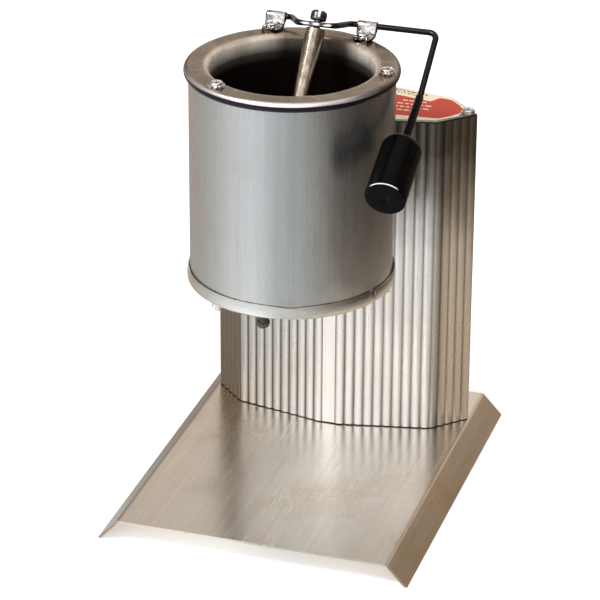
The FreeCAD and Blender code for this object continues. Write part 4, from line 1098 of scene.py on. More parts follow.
def rim_fasteners():
    """Three tie bolts, the clip screw and their toothed washers."""
    washers = Shape()
    for index, (low, high) in enumerate(node_islands("rim_washers")):
        centre = (low + high) / 2
        washers.join(tooth_washer((centre.x, centre.y, low.z), 0.35 * index))
    add_piece("rim_lock_washers", washers, "frame", "zinc_fasteners", ("rim_washers",))
    for name, node in (("tie_bolt_set", "tie_bolts"), ("clip_screw_part", "clip_screw")):
        shape = Shape()
        for index, (low, high) in enumerate(node_islands(node)):
            centre = (low + high) / 2
            seat = high.z - HEAD_HEIGHT
            shape.join(screw((centre.x, centre.y, seat), Z_AXIS, seat - low.z, 2.0, 0.5 + 0.8 * index))
        add_piece(name, shape, "frame", "zinc_fasteners", (node,))


def cap_fasteners():
    shape = Shape()
    for index, (low, high) in enumerate(node_islands("cap_screws")):
        centre = (low + high) / 2
        shape.join(screw((centre.x, centre.y, high.z - HEAD_HEIGHT), Z_AXIS, 14.0, 1.7, 0.3 + index))
    add_piece("cap_screw_set", shape, "frame", "zinc_fasteners", ("cap_screws",))


# ------------------------------------------------------------------ pot

POT_SHEET = 1.2
SLEEVE_SHEET = 0.8
MOUTH_ROUND = 4.0
RIM_ROUND = 3.5
RIM_CURL_END = -45.0
POT_FLOOR_ROUND = 5.0
POT_SIDES = 220
RIM_SWAY = 0.16
RIM_DIP = 0.22
SLEEVE_HOLLOW = 0.16
PAN_BEND = 2.5
LIP_ROUND = 0.25
LIP_WAVE = 0.06
GAP_DEPTH = 0.9
SLIT_ROOT = 3.2
LIP_LEAN = 0.25
GAP_ANGLE = math.radians(-73.0)
GAP_SPREAD = math.radians(8.0)
SLIT_ANGLE = math.radians(-21.0)
SLIT_HALF = math.radians(0.9)


def crucible():
    """The drawn pot: bore, rolled mouth, flat rim and curled edge, very slightly out of true."""
    low, high = box_mm("crucible")
    top = high.z
    rim = (high.x - low.x) / 2
    floor = low.z + POT_SHEET
    floor_centre = (BORE_RADIUS - POT_FLOOR_ROUND, floor + POT_FLOOR_ROUND)
    mouth_centre = (BORE_RADIUS + MOUTH_ROUND, top - MOUTH_ROUND)
    rim_centre = (rim - RIM_ROUND, top - RIM_ROUND)
    inside = [(0.0, floor), (floor_centre[0] * 0.5, floor)]
    inside += arc_points(floor_centre, POT_FLOOR_ROUND, -90, 0, 6)
    inside += [(BORE_RADIUS, floor + (top - floor) * k / 8) for k in range(2, 8)]
    inside += arc_points(mouth_centre, MOUTH_ROUND, 180, 90, 8)
    inside += arc_points(rim_centre, RIM_ROUND, 90, RIM_CURL_END, 14)
    outside = arc_points(rim_centre, RIM_ROUND - POT_SHEET, RIM_CURL_END, 90, 10)
    outside += arc_points(mouth_centre, MOUTH_ROUND - POT_SHEET, 90, 180, 6)
    outside += arc_points(floor_centre, POT_FLOOR_ROUND + POT_SHEET, 0, -90, 6)
    outside += [(0.0, floor - POT_SHEET)]

    def out_of_true(radius, height, angle):
        near_rim = smooth_step(height, top - 14, top - 2)
        ring = Vector((math.cos(angle), math.sin(angle), 0)) * 1.7
        sway = noise.noise(ring) * RIM_SWAY * near_rim
        dip = (noise.noise(ring * 1.6 + Vector((0, 0, 5))) - 0.55) * RIM_DIP * near_rim
        return (radius - abs(sway) if radius > 1 else radius, height + min(0.0, dip))
    shape = Shape().lathe(inside + outside, POT_SIDES, pot_axis(), wobble=out_of_true)
    return add_piece("crucible_pot", shape, "frame", "pot_steel", ("crucible",))


def pot_sleeve():
    """Rolled sheet with the shallow flats and hollows of a formed cylinder."""
    low, high = box_mm("pot_sleeve")
    outer = (high.x - low.x) / 2
    stations = 26
    outside = [(outer, low.z + (high.z - low.z) * k / stations) for k in range(stations + 1)]
    inside = [(outer - SLEEVE_SHEET, z) for _radius, z in reversed(outside)]

    def hollows(radius, height, angle):
        spot = Vector((math.cos(angle) * 2.2, math.sin(angle) * 2.2, height / 70))
        fade = smooth_step(height, low.z, low.z + 10) * (1 - smooth_step(height, high.z - 10, high.z))
        return radius - SLEEVE_HOLLOW * fade * (0.5 + noise.noise(spot)), height
    shape = Shape().lathe(outside + inside, POT_SIDES, pot_axis(), wobble=hollows)
    return add_piece("pot_sleeve_sheet", shape, "frame", "sleeve_steel", ("pot_sleeve",))


def bottom_pan():
    """The shallow dish under the sleeve, its lip sprung open at the front, with a slit at the right."""
    low, high = box_mm("bottom_pan")
    outer = (high.x - low.x) / 2
    centre = (outer - PAN_BEND, low.z + PAN_BEND)
    profile = [(0.0, low.z), (outer * 0.5, low.z)] + arc_points(centre, PAN_BEND, -90, 0, 6)
    profile += [(outer, centre[1] + (high.z - centre[1]) * k / 4) for k in range(1, 4)]
    profile += [(outer - LIP_ROUND, high.z), (outer - POT_SHEET + LIP_ROUND, high.z)]
    profile += [(outer - POT_SHEET, centre[1] + (high.z - centre[1]) * k / 4) for k in (3, 2, 1)]
    profile += arc_points(centre, PAN_BEND - POT_SHEET, 0, -90, 4) + [(0.0, low.z + POT_SHEET)]

    def sprung(radius, height, angle):
        lip = smooth_step(height, low.z + 3.0, high.z)
        away = math.remainder(angle - GAP_ANGLE, 2 * math.pi) / GAP_SPREAD
        gap = math.exp(-away * away) * lip
        slit = math.remainder(angle - SLIT_ANGLE, 2 * math.pi)
        notch = (abs(slit) < SLIT_HALF) * smooth_step(height, low.z + SLIT_ROOT, low.z + SLIT_ROOT + 0.6)
        wave = noise.noise(Vector((math.cos(angle) * 3, math.sin(angle) * 3, 9))) * LIP_WAVE * lip
        out = GAP_DEPTH * gap + wave - LIP_LEAN * lip * (1 - gap)
        height -= GAP_DEPTH * gap + notch * (height - low.z - SLIT_ROOT)
        return (radius + out if radius > outer / 2 else radius), height
    shape = Shape().lathe(profile, 400, pot_axis(), wobble=sprung)
    return add_piece("bottom_pan_dish", shape, "frame", "pan_steel", ("bottom_pan",))


# ------------------------------------------------------------------ spout and valve

SPOUT_BORE = 1.8
SPOUT_ROUND = 0.6
SPOUT_MOUTH = 5.1
SPOUT_CONE = 3.3
TIP_RADIUS = 4.3
SPOUT_NECK = 3.6
SHOULDER_RADIUS = 5.4
SHOULDER_RISE = 9.0
SHOULDER_HEIGHT = 7.8
BODY_RADIUS = 5.0
COLLAR_HEIGHT = 4.0


def pour_spout():
    """Turned nozzle: ball-shaped tip, neck, shoulder, body through the pan and the collar in the pot."""
    low, high = box_mm("pour_spout")
    centre = (low + high) / 2
    seat = (high.x - low.x) / 2
    ball = low.z + TIP_RADIUS
    shoulder = low.z + SHOULDER_RISE
    shoulder_top = shoulder + SHOULDER_HEIGHT
    collar = high.z - COLLAR_HEIGHT
    profile = [(SPOUT_BORE, low.z + 0.5)]
    profile += arc_points((0, ball), TIP_RADIUS, -62, 30, 16)
    profile += [(SPOUT_NECK, ball + 2.6), (SPOUT_NECK, shoulder)]
    edge = SHOULDER_RADIUS - SPOUT_ROUND
    profile += arc_points((edge, shoulder + SPOUT_ROUND), SPOUT_ROUND, -90, 0, 4)
    profile += arc_points((edge, shoulder_top - SPOUT_ROUND), SPOUT_ROUND, 0, 90, 4)
    profile += [(BODY_RADIUS, shoulder_top), (BODY_RADIUS, collar), (seat, collar), (seat, high.z),
                (SPOUT_MOUTH, high.z), (SPOUT_BORE, high.z - SPOUT_CONE)]
    shape = Shape().lathe(profile, 56, (centre.x, centre.y, 0))
    return add_piece("pour_spout_nozzle", shape, "frame", "spout_steel", ("pour_spout",))


ROD_RADIUS = 6.0
ROD_ROUND = 1.2
SCREW_HEAD = 6.2
SCREW_HEAD_RADIUS = 5.1
SCREW_DOME = 2.4
SLOT_HALF = 0.8
SLOT_DEPTH = 4.4
TOP_CLEARANCE = 0.01
SLOT_TURN = 17.0
SCREW_THREAD = 12.0
NECK = 5.0
NECK_RADIUS = 2.3


def rod_line():
    """Ball centre, direction and shoulder of the valve rod."""
    up = joint_axis("rod_lift")
    low = box_mm("valve_rod")[0]
    ball = low + Vector((ROD_RADIUS, ROD_RADIUS, ROD_RADIUS))
    return ball, up, joint_place("flow_screw_turn") - up * (SCREW_HEAD + NECK)


def valve_rod():
    ball, up, shoulder = rod_line()
    length = (shoulder - ball).length
    profile = arc_points((0, 0), ROD_RADIUS, -90, 0, 10)
    profile += [(ROD_RADIUS, length * k / 12) for k in range(1, 12)]
    profile += arc_points((ROD_RADIUS - ROD_ROUND, length - ROD_ROUND), ROD_ROUND, 0, 90, 6)
    profile += [(NECK_RADIUS + 0.1, length), (0.0, length - 0.2)]
    shape = Shape().lathe(profile, 72, ball, up)
    return add_piece("valve_rod_bar", shape, "valve", "rod_steel", ("valve_rod",))


def lobe_outline(radius, chord, top, count=26):
    """Half of a slotted head at one height: an arc closed by the slot's wall, on the +X side."""
    first = math.acos(min(0.999, chord / radius))
    points = []
    for step in range(count + 1):
        angle = -first + 2 * first * step / count
        points.append((radius * math.cos(angle), radius * math.sin(angle), top))
    return points


def flow_screw():
    """Slotted adjusting screw: two domed lobes over a plain lower head, neck and thread."""
    up, shoulder = rod_line()[1:]
    top = shoulder + up * (SCREW_HEAD + NECK - TOP_CLEARANCE)
    shape = Shape()
    steps = 9
    for side in (1, -1):
        rows = [lobe_outline(SCREW_HEAD_RADIUS, SLOT_HALF, -SLOT_DEPTH)]
        for step in range(steps + 1):
            angle = math.radians(90 * step / steps)
            radius = SCREW_HEAD_RADIUS - SCREW_DOME * (1 - math.cos(angle))
            chord = SLOT_HALF + 0.35 * max(0.0, math.sin(angle) - 0.6)
            rows.append(lobe_outline(radius, chord, -SCREW_DOME * (1 - math.sin(angle))))
        width = len(rows[0])
        # Painted shade on the slot's floor.
        lobe = Shape().skin(rows, paint=[[0.35] * width] + [[1.0] * width] * (len(rows) - 1))
        lobe.points = [Vector((p.x * side, p.y * side, p.z)) for p in lobe.points]
        shape.join(lobe)
    thread_end = -SCREW_HEAD - NECK - SCREW_THREAD
    lower = [(0, -SLOT_DEPTH), (SCREW_HEAD_RADIUS, -SLOT_DEPTH), (SCREW_HEAD_RADIUS, 0.5 - SCREW_HEAD),
             (SCREW_HEAD_RADIUS - 0.5, -SCREW_HEAD), (NECK_RADIUS, -SCREW_HEAD), (NECK_RADIUS, thread_end),
             (0, thread_end)]
    shape.lathe(lower, 48)
    shape.place(top, up, math.radians(SLOT_TURN))
    return add_piece("flow_screw_part", shape, "flow_screw", "rod_steel", ("flow_screw",), "screw_dark")


# ------------------------------------------------------------------ lever

WIRE_RADIUS = 1.9
WIRE_BEND = 5.0
EYE_HOLE = 3.8
EYE_RADIUS = 5.6
EYE_SHEET = 3.0
EYE_TILT = 22.0
EYE_LAP = 0.9
EYE_CHAMFER = 0.4
EYE_BAND = 0.55
CRANK_X = (-19.8, -9.0, 14.0, 19.2)
ARM_SPLAY = 1.2
ARM_X = 74.3
ARM_ANGLE = 32.5
ARM_LENGTH = 46.2
SHANK_ANGLE = 22.1
SHANK_RADIUS = 2.5
SHANK_SOCKET = 12.0
SHANK_LAP = 3.0
SHANK_LENGTH = 68.0
KNOB_LENGTH = 48.0
KNOB_RADIUS = 12.7
KNOB_ROUND = 7.5
KNOB_EDGE = 1.0


def arm_direction(degrees):
    """Forwards and down at an angle, splayed slightly away from the pot."""
    angle = math.radians(degrees)
    return Vector((math.tan(math.radians(ARM_SPLAY)), -math.cos(angle), -math.sin(angle))).normalized()


def lever_points():
    """Pivot line, eye centre, top of the arm and top of the shank."""
    pivot = joint_place("lever_pivot")
    up, shoulder = rod_line()[1:]
    eye = shoulder + up * (NECK / 2)
    arm_top = Vector((ARM_X, pivot.y, pivot.z))
    return pivot, eye, arm_top, arm_top + arm_direction(ARM_ANGLE) * ARM_LENGTH


HIGHLIGHT_SIDE = Vector((0, -0.90, 0.43))


def bare_metal(point, centre, flat):
    """Paint value of a wire vertex: low for the painted highlight on the flattened wire's side facing forward and
    up.
    """
    facing = (point - centre).normalized().dot(HIGHLIGHT_SIDE)
    return 1 - flat * smooth_step(facing, 0.70, 0.95)


def lever_wire():
    """Pivot, crank with its flattened eye, pivot and arm, bent from one wire."""
    pivot, eye, arm_top, shank_top = lever_points()
    left = box_mm("lever_wire")[0].x
    corners = [
        Vector((left, pivot.y, pivot.z)),
        Vector((CRANK_X[0], pivot.y, pivot.z)),
        Vector((CRANK_X[1], eye.y, eye.z)),
        Vector((CRANK_X[2], eye.y, eye.z)),
        Vector((CRANK_X[3], pivot.y, pivot.z)),
        arm_top,
        shank_top,
        shank_top + arm_direction(SHANK_ANGLE) * SHANK_SOCKET,
    ]
    path = subdivide(bend_path(corners, WIRE_BEND, 10), 1.5)

    def flatness(point):
        return 1 - smooth_step(abs(point.x - eye.x), 6.0, 12.5) if point.z > pivot.z + 1 else 0.0

    def section(point):
        return WIRE_RADIUS + 0.25 * flatness(point), WIRE_RADIUS - 0.45 * flatness(point)
    rows = tube_rows(path, section)
    in_eye = [index for index, point in enumerate(path)
              if abs(point.x - eye.x) < EYE_RADIUS - EYE_LAP and point.z > pivot.z + 3]
    shape = Shape()
    for part in (rows[:in_eye[0]], rows[in_eye[-1] + 1:]):
        ends = rounded_ends(part, 0.4)
        paint = []
        for row in ends:
            middle = sum(row, Vector()) / len(row)
            paint.append([bare_metal(point, middle, flatness(middle)) for point in row])
        shape.skin(ends, paint=paint)
    tilt = math.radians(EYE_TILT)
    normal = Vector((0, math.sin(tilt), math.cos(tilt)))
    half = EYE_SHEET / 2
    lower = [(EYE_HOLE, EYE_CHAMFER - half), (EYE_HOLE + EYE_CHAMFER, -half),
             (EYE_RADIUS - EYE_CHAMFER, -half), (EYE_RADIUS, EYE_CHAMFER - half), (EYE_RADIUS, -EYE_BAND)]
    upper = [(radius, -height) for radius, height in reversed(lower)]
    eye_shape = Shape().lathe(lower + upper, 72, eye, normal)
    # Painted highlight on the front of the eye's rim.
    for index, point in enumerate(eye_shape.points):
        off = point - eye
        outside = off.length > EYE_RADIUS - 0.1 and abs(off.dot(normal)) < 0.8
        eye_shape.paint[index] = 1 - outside * smooth_step(-off.y, 0.5, 2.5)
    shape.join(eye_shape)
    return add_piece("lever_wire_rod", shape, "lever", "black_wire", ("lever_wire",))


def lever_shank():
    """Thicker lower part of the arm, crimped over the wire and set into the knob."""
    along = arm_direction(SHANK_ANGLE)
    start = lever_points()[-1] + along * SHANK_LAP
    profile = [(0, 0), (WIRE_RADIUS + 0.1, 0), (SHANK_RADIUS, 1.2), (SHANK_RADIUS, SHANK_LENGTH),
               (0, SHANK_LENGTH)]
    shape = Shape().lathe(profile, 40, start, along)
    return add_piece("lever_shank_rod", shape, "lever", "black_wire", ("lever_shank",), "black_knob")


def knob_end():
    """Centre of the knob's flat end face."""
    along = arm_direction(SHANK_ANGLE)
    shank_top = lever_points()[-1]
    end_y = box_mm("lever_knob")[0].y + (KNOB_RADIUS - KNOB_EDGE) * math.sqrt(1 - along.y * along.y)
    return shank_top + along * ((end_y - shank_top.y) / along.y)


def lever_knob():
    """Moulded handle: full round at the arm, a dimple in the face and a painted highlight along its top edge."""
    profile = [(0.0, 0.9), (0.8, 0.85), (1.6, 0.35), (2.2, 0.06), (3.0, 0.0), (KNOB_RADIUS - 1.3, 0.0)]
    profile += arc_points((KNOB_RADIUS - 1.1, 1.1), 1.1, -80, 0, 6)
    profile += [(KNOB_RADIUS + 0.04 * math.sin(k), 4.0 + k * 4.0) for k in range(1, 9)]
    profile += arc_points((KNOB_RADIUS - KNOB_ROUND, KNOB_LENGTH - KNOB_ROUND), KNOB_ROUND, 0, 90, 14)
    profile += [(SHANK_RADIUS + 0.2, KNOB_LENGTH), (SHANK_RADIUS, KNOB_LENGTH - 0.6),
                (0.0, KNOB_LENGTH - 1.0)]
    end = knob_end()
    along = arm_direction(SHANK_ANGLE)
    shape = Shape().lathe(profile, 96, end, along * -1)
    top = (Z_AXIS - along * along.z).normalized()
    for index, point in enumerate(shape.points):
        off = point - end
        back = -off.dot(along)
        spoke = off + along * back
        # Painted highlight on the upper edge of the end face.
        if 0.25 < back < 0.95 and spoke.length > KNOB_RADIUS - 1.6:
            shape.paint[index] = 1 - 0.8 * smooth_step(spoke.normalized().dot(top), 0.60, 0.85)
    return add_piece("lever_knob_handle", shape, "lever", "black_knob", ("lever_knob",))


# ------------------------------------------------------------------ clips

CLIP_SHEET = 0.9
CLIP_LAYER_GAP = 0.06
CLIP_EDGE = 0.6
CLIP_ROUND = 0.25
CLIP_TIP = 0.15
CLIP_KNEE = 6.4
CLIP_TOE = 4.8
CLIP_GAP = 0.08


def tangent_angles(point, centre, radius):
    """Where both tangents from a point touch a circle, in degrees, in (y, z)."""
    towards = point - centre
    middle = math.degrees(math.atan2(towards.y, towards.x)) % 360
    spread = math.degrees(math.acos(radius / towards.length))
    return middle + spread, middle - spread + 360


def clip(name, node):
    """A strap folded round the wire, both layers clamped on a rounded foot."""
    low_box, high_box = box_mm(node)
    middle_x = (low_box.x + high_box.x) / 2
    half = (high_box.x - low_box.x) / 2
    toe_y = low_box.y
    foot_y = toe_y + CLIP_TOE
    pivot = joint_place("lever_pivot")
    centre = Vector((pivot.y, pivot.z))
    inner = WIRE_RADIUS + CLIP_GAP
    low = Vector((foot_y + CLIP_KNEE, low_box.z + CLIP_SHEET))
    high = low + Vector((0, CLIP_LAYER_GAP))
    first = tangent_angles(low, centre, inner)[0]
    last = tangent_angles(high, centre, inner)[1]
    loop = [Vector(point) for point in arc_points(centre, inner, first, last, 26)]
    path = subdivide([Vector((toe_y, low.y)), low, *loop, high, Vector((toe_y, high.y))], 0.8)
    rows = []
    for index, point in enumerate(path):
        after = path[min(index + 1, len(path) - 1)]
        before = path[max(index - 1, 0)]
        along = (after - before).normalized()
        outward = Vector((along.y, -along.x))
        lead = max(0.0, foot_y - point.x)
        width = max(CLIP_TIP, math.sqrt(max(0.0, half * half - lead * lead)))
        flat = width - min(CLIP_EDGE, width * 0.5)
        outer = point + outward * CLIP_SHEET
        above, below = point + outward * CLIP_ROUND, outer - outward * CLIP_ROUND
        section = ((point, -flat), (point, flat), (above, width), (below, width),
                   (outer, flat), (outer, -flat), (below, -width), (above, -width))
        rows.append([(middle_x + x, spot.x, spot.y) for spot, x in section])
    # Painted shade along both edges of the strap.
    paint = [[1.0, 1.0, 0.0, 0.0, 1.0, 1.0, 0.0, 0.0]] * len(rows)
    shape = Shape().skin(rows, paint=paint)
    return add_piece(name, shape, "frame", "clip_steel", (node,), sharp=CREASE)


# ------------------------------------------------------------------ heat control at the back

DIAL_TICKS = 31
DIAL_DIGITS = 10
DIAL_SWEEP = 270.0
DIAL_FIRST = 225.0
DIAL_REST = 45.0
TICK_RING = 19.2
TICK_LONG = (21.0, 0.22)
TICK_SHORT = (20.2, 0.14)
DIGIT_RING = 22.9
DIGIT_SIZE = 2.6
PRINT_SINK = 0.02
PRINT_RISE = 0.05
POINTER_RISE = 3.1
POINTER_HALF = 0.45
POINTER_INNER = 14.9
POINTER_OUTER = 16.9


def dial_angle(index, count):
    """Where a mark stands on the scale, anticlockwise from the right as the dial is read."""
    return math.radians(DIAL_FIRST - DIAL_SWEEP * index / (count - 1))


def painted_line(shape, centre, out, side, inner, outer, levels):
    """A flat bar from one radius to another, between two levels in y."""
    rows = []
    for y in levels:
        start = Vector((centre.x, y, centre.z)) + out * inner
        end = Vector((centre.x, y, centre.z)) + out * outer
        rows.append([start - side, start + side, end + side, end - side])
    shape.skin(rows)


def dial_ticks():
    high = box_mm("dial_plate")[1]
    shape = Shape()
    for tick in range(DIAL_TICKS):
        outer, half = TICK_SHORT if tick % 3 else TICK_LONG
        angle = dial_angle(tick, DIAL_TICKS)
        out = Vector((-math.cos(angle), 0, math.sin(angle)))
        side = Vector((math.sin(angle), 0, math.cos(angle))) * half
        levels = (high.y - PRINT_SINK, high.y + PRINT_RISE)
        painted_line(shape, centre_mm("dial_plate"), out, side, TICK_RING, outer, levels)
    add_piece("dial_ticks", shape, "frame", "dial_metal", finish="dial_print")


def dial_digit(number):
    """A plain number printed outside the ticks."""
    centre = centre_mm("dial_plate")
    angle = dial_angle(number - 1, DIAL_DIGITS)
    curve = bpy.data.curves.new(f"dial_number_{number}", "FONT")
    curve.body = str(number)
    curve.size = DIGIT_SIZE * MM
    curve.align_x = "CENTER"
    curve.align_y = "CENTER"
    curve.extrude = 0.03 * MM
    text = bpy.data.objects.new(f"dial_number_{number}", curve)
    bpy.context.scene.collection.objects.link(text)
    text.rotation_euler = (math.radians(90), 0, math.radians(180))
    face = Vector((centre.x, box_mm("dial_plate")[1].y + 0.03, centre.z))
    text.location = (face + Vector((-math.cos(angle), 0, math.sin(angle))) * DIGIT_RING) * MM
    bpy.context.view_layer.update()
    mesh = bpy.data.meshes.new_from_object(text.evaluated_get(bpy.context.evaluated_depsgraph_get()))
    mesh.transform(text.matrix_world)
    mesh.materials.clear()
    mesh.materials.append(FINISHES["dial_print"])
    piece = bpy.data.objects.new(f"dial_digit_{number}", mesh)
    bpy.context.scene.collection.objects.link(piece)
    bpy.data.objects.remove(text)
    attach(piece, "frame")


def dial_pointer():
    """White paint on the pointer of the control knob."""
    centre = centre_mm("dial_knob")
    face = box_mm("dial_knob")[0].y + POINTER_RISE
    angle = math.radians(DIAL_REST)
    out = Vector((math.cos(angle), 0, -math.sin(angle)))
    shape = Shape()
    painted_line(shape, centre, out, out.cross(Y_AXIS) * POINTER_HALF, POINTER_INNER, POINTER_OUTER,
                 (face - 0.05, face + 0.04))
    add_piece("dial_pointer_paint", shape, "dial", "black_plastic", finish="dial_white")


# ------------------------------------------------------------------ camera and studio

CAMERA_AZIMUTH = 17.189
CAMERA_ELEVATION = 25.512
CAMERA_ROLL = 0.306
CAMERA_DISTANCE = 1.89077
CAMERA_TARGET = Vector((0.013539, -0.0696, 0.157201))
SENSOR = 36.0
LENS = 183.03
FLOOR_DROP = -0.0006
FLOOR_GLOW = 0.35


def camera():
    data = bpy.data.cameras.new("camera")
    data.lens = LENS
    data.sensor_width = SENSOR
    data.clip_start = 0.05
    data.clip_end = 20
    made = bpy.data.objects.new("camera", data)
    bpy.context.scene.collection.objects.link(made)
    azimuth = math.radians(CAMERA_AZIMUTH)
    elevation = math.radians(CAMERA_ELEVATION)
    back = Vector((math.sin(azimuth) * math.cos(elevation), -math.cos(azimuth) * math.cos(elevation),
                   math.sin(elevation)))
    aim = (-back).to_track_quat("-Z", "Y").to_matrix()
    aim = aim @ Matrix.Rotation(math.radians(CAMERA_ROLL), 3, "Z")
    made.matrix_world = Matrix.Translation(CAMERA_TARGET + back * CAMERA_DISTANCE) @ aim.to_4x4()
    bpy.context.scene.camera = made


def plain_surface(name, colour, rough):
    finish = Finish(name)
    soft = finish.noise(300.0, detail=2.0)
    tone = finish.mix(soft, colour, tuple(c * 0.985 for c in colour))
    finish.set(base_color=tone, roughness=rough, emission_color=tone, emission_strength=FLOOR_GLOW)
    return finish.material


def level_plane(name, size, height, material):
    bpy.ops.mesh.primitive_plane_add(size=size, location=(0, 0, height))
    made = bpy.context.object
    made.name = name
    made.data.materials.append(material)
    return made


# Tones round the room, by degrees from the front towards the right: first far out, then close to the object.
FAR_TONES = (
    (-180, (0.46, 0.36, 0.30)), (-105, (0.48, 0.42, 0.38)), (-78, (0.54, 0.55, 0.53)),
    (-52, (0.82, 0.82, 0.83)), (-30, (0.90, 0.96, 1.00)), (-14, (0.84, 0.90, 0.95)),
    (-2, (0.57, 0.64, 0.66)), (20, (0.43, 0.49, 0.48)), (46, (0.38, 0.39, 0.36)), (60, (0.22, 0.20, 0.18)),
    (80, (0.09, 0.075, 0.06)), (104, (0.06, 0.045, 0.03)), (180, (0.26, 0.20, 0.15)),
)
NEAR_TONES = (
    (-180, (0.46, 0.38, 0.31)), (-105, (0.50, 0.47, 0.43)), (-78, (0.60, 0.61, 0.60)),
    (-52, (0.92, 0.92, 0.91)), (-30, (1.14, 1.14, 1.14)), (-14, (1.12, 1.13, 1.14)),
    (-2, (0.72, 0.75, 0.74)), (16, (0.58, 0.60, 0.59)), (40, (0.66, 0.64, 0.60)), (62, (0.78, 0.70, 0.60)),
    (90, (0.56, 0.46, 0.36)), (130, (0.54, 0.45, 0.35)), (180, (0.52, 0.43, 0.34)),
)
NEAR_REACH = 0.41
FAR_REACH = 0.46


def room_tones():
    """What bare metal sees of the room below it: bright in front, brown and dark to the right."""
    finish = Finish("room_tones")
    split = finish.node("SeparateXYZ", {"Vector": finish.place})
    y = finish.sum(split.outputs["Y"], pot_axis().y * MM, "SUBTRACT")
    turned = finish.node("CombineXYZ", {"X": finish.sum(y, -1.0, "MULTIPLY"), "Y": split.outputs["X"]})
    around = finish.node("TexGradient", {"Vector": turned.outputs[0]}, gradient_type="RADIAL").outputs["Fac"]
    away = finish.span(finish.length(turned.outputs[0]), NEAR_REACH, FAR_REACH)
    near = finish.ramp(around, *((degrees / 360 + 0.5, tone) for degrees, tone in NEAR_TONES))
    far = finish.ramp(around, *((degrees / 360 + 0.5, tone) for degrees, tone in FAR_TONES))
    tone = finish.mix(away, near, far)
    finish.set(base_color=(0, 0, 0, 1), specular_ior_level=0.0, roughness=1.0, emission_color=tone,
               emission_strength=1.0)
    return finish.material


def floor():
    """The pale floor, and over it a card that only reflections can see."""
    level_plane("floor", 14, FLOOR_DROP, plain_surface("floor", (0.90, 0.895, 0.89), 0.75))
    card = level_plane("room_card", 8, FLOOR_DROP / 2, room_tones())
    card.visible_camera = False
    card.visible_diffuse = False
    card.visible_transmission = False
    card.visible_shadow = False


def softbox(name, place, aim, size, power, colour=(1, 1, 1)):
    """A rectangular light that faces a point."""
    data = bpy.data.lights.new(name, "AREA")
    data.shape = "RECTANGLE"
    data.size, data.size_y = size
    data.energy = power
    data.color = colour
    made = bpy.data.objects.new(name, data)
    bpy.context.scene.collection.objects.link(made)
    made.location = place
    made.rotation_mode = "QUATERNION"
    made.rotation_quaternion = (Vector(aim) - Vector(place)).to_track_quat("-Z", "Y")
    return made


# Tones of the room by the height of the view direction, from level to straight up.
FRONT_SKY = (
    (0.0, (0.07, 0.068, 0.075)), (0.16, (0.10, 0.10, 0.115)), (0.32, (1.75, 1.75, 1.76)),
    (0.80, (1.6, 1.6, 1.6)), (1.0, (0.95, 0.95, 0.95)),
)
REAR_SKY = (
    (0.0, (0.40, 0.37, 0.34)), (0.36, (0.86, 0.82, 0.77)), (0.48, (0.84, 0.80, 0.76)),
    (0.70, (0.26, 0.25, 0.24)), (1.0, (0.95, 0.95, 0.95)),
)


class Sky:
    """The world's node tree under construction."""

    def __init__(self):
        self.world = bpy.data.worlds.new("studio")
        self.world.use_nodes = True
        self.tree = self.world.node_tree
        self.split = self.tree.nodes.new("ShaderNodeSeparateXYZ")
        view = self.tree.nodes.new("ShaderNodeTexCoord").outputs["Generated"]
        self.tree.links.new(view, self.split.inputs[0])

    def tones(self, stops):
        ramp = self.tree.nodes.new("ShaderNodeValToRGB")
        self.tree.links.new(self.split.outputs["Z"], ramp.inputs["Fac"])
        return fill_ramp(ramp, stops)

    def across(self, axis, low, high, first, last):
        """A smooth change from one value to another along a direction."""
        made = self.tree.nodes.new("ShaderNodeMapRange")
        made.interpolation_type = "SMOOTHSTEP"
        self.tree.links.new(self.split.outputs[axis], made.inputs["Value"])
        for name, value in (("From Min", low), ("From Max", high), ("To Min", first), ("To Max", last)):
            made.inputs[name].default_value = value
        return made.outputs[0]


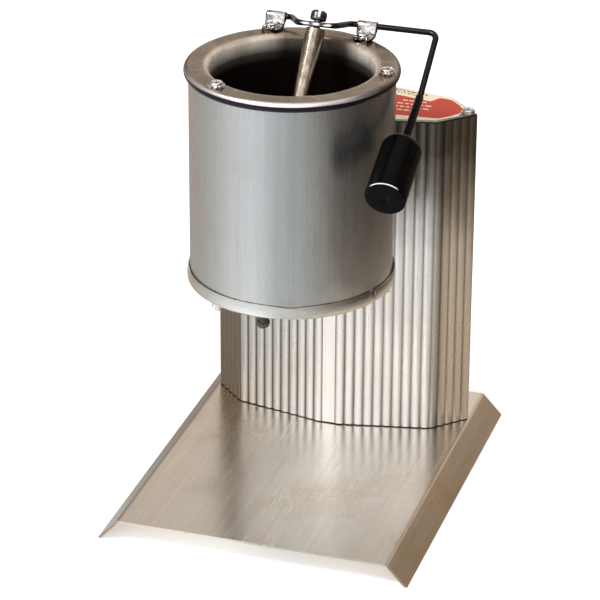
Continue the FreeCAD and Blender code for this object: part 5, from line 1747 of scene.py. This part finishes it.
def sky():
    """A room with a bright ceiling in front, a middle grey behind and a dark side to the right."""
    room = Sky()
    mix = room.tree.nodes.new("ShaderNodeMix")
    mix.data_type = "RGBA"
    room.tree.links.new(room.across("Y", -0.25, 0.25, 0.0, 1.0), mix.inputs[0])
    room.tree.links.new(room.tones(FRONT_SKY), mix.inputs[6])
    room.tree.links.new(room.tones(REAR_SKY), mix.inputs[7])
    backdrop = room.tree.nodes["Background"]
    room.tree.links.new(mix.outputs[2], backdrop.inputs["Color"])
    sides = room.tree.nodes.new("ShaderNodeMath")
    sides.operation = "MULTIPLY"
    room.tree.links.new(room.across("X", 0.35, 0.75, 1.0, 0.22), sides.inputs[0])
    room.tree.links.new(room.across("X", -0.62, -0.20, 0.40, 1.0), sides.inputs[1])
    room.tree.links.new(sides.outputs[0], backdrop.inputs["Strength"])
    bpy.context.scene.world = room.world


def studio():
    sky()
    middle = (0.0, 0.0, 0.15)
    softbox("key", (-0.75, -0.75, 1.35), middle, (0.42, 0.42), 15.0, (1.0, 0.985, 0.96))
    fill = softbox("fill", (1.3, -0.9, 0.9), middle, (0.7, 0.9), 5.0, (1.0, 0.98, 0.95))
    back = softbox("back", (0.2, 1.3, 1.2), middle, (1.2, 0.5), 6.0)
    for light in (fill, back):
        light.visible_glossy = False
    scene = bpy.context.scene
    scene.view_settings.view_transform = "Standard"
    scene.view_settings.look = "None"
    scene.view_settings.exposure = 0.0


# ------------------------------------------------------------------ assembly

def build():
    paint_frame_nodes()
    base_plate()
    column_shell("column_front_ribbed", "column_front_shell", True)
    column_shell("column_rear_ribbed", "column_rear_shell", False)
    column_cap()
    label_plate()
    label_field()
    label_marks()
    cap_fasteners()
    crucible()
    pot_sleeve()
    bottom_pan()
    rim_fasteners()
    pour_spout()
    valve_rod()
    flow_screw()
    lever_wire()
    lever_shank()
    lever_knob()
    clip("left_clip_strap", "left_clip")
    clip("right_clip_strap", "right_clip")
    dial_ticks()
    for number in range(1, DIAL_DIGITS + 1):
        dial_digit(number)
    dial_pointer()
    camera()
    floor()
    studio()


build()
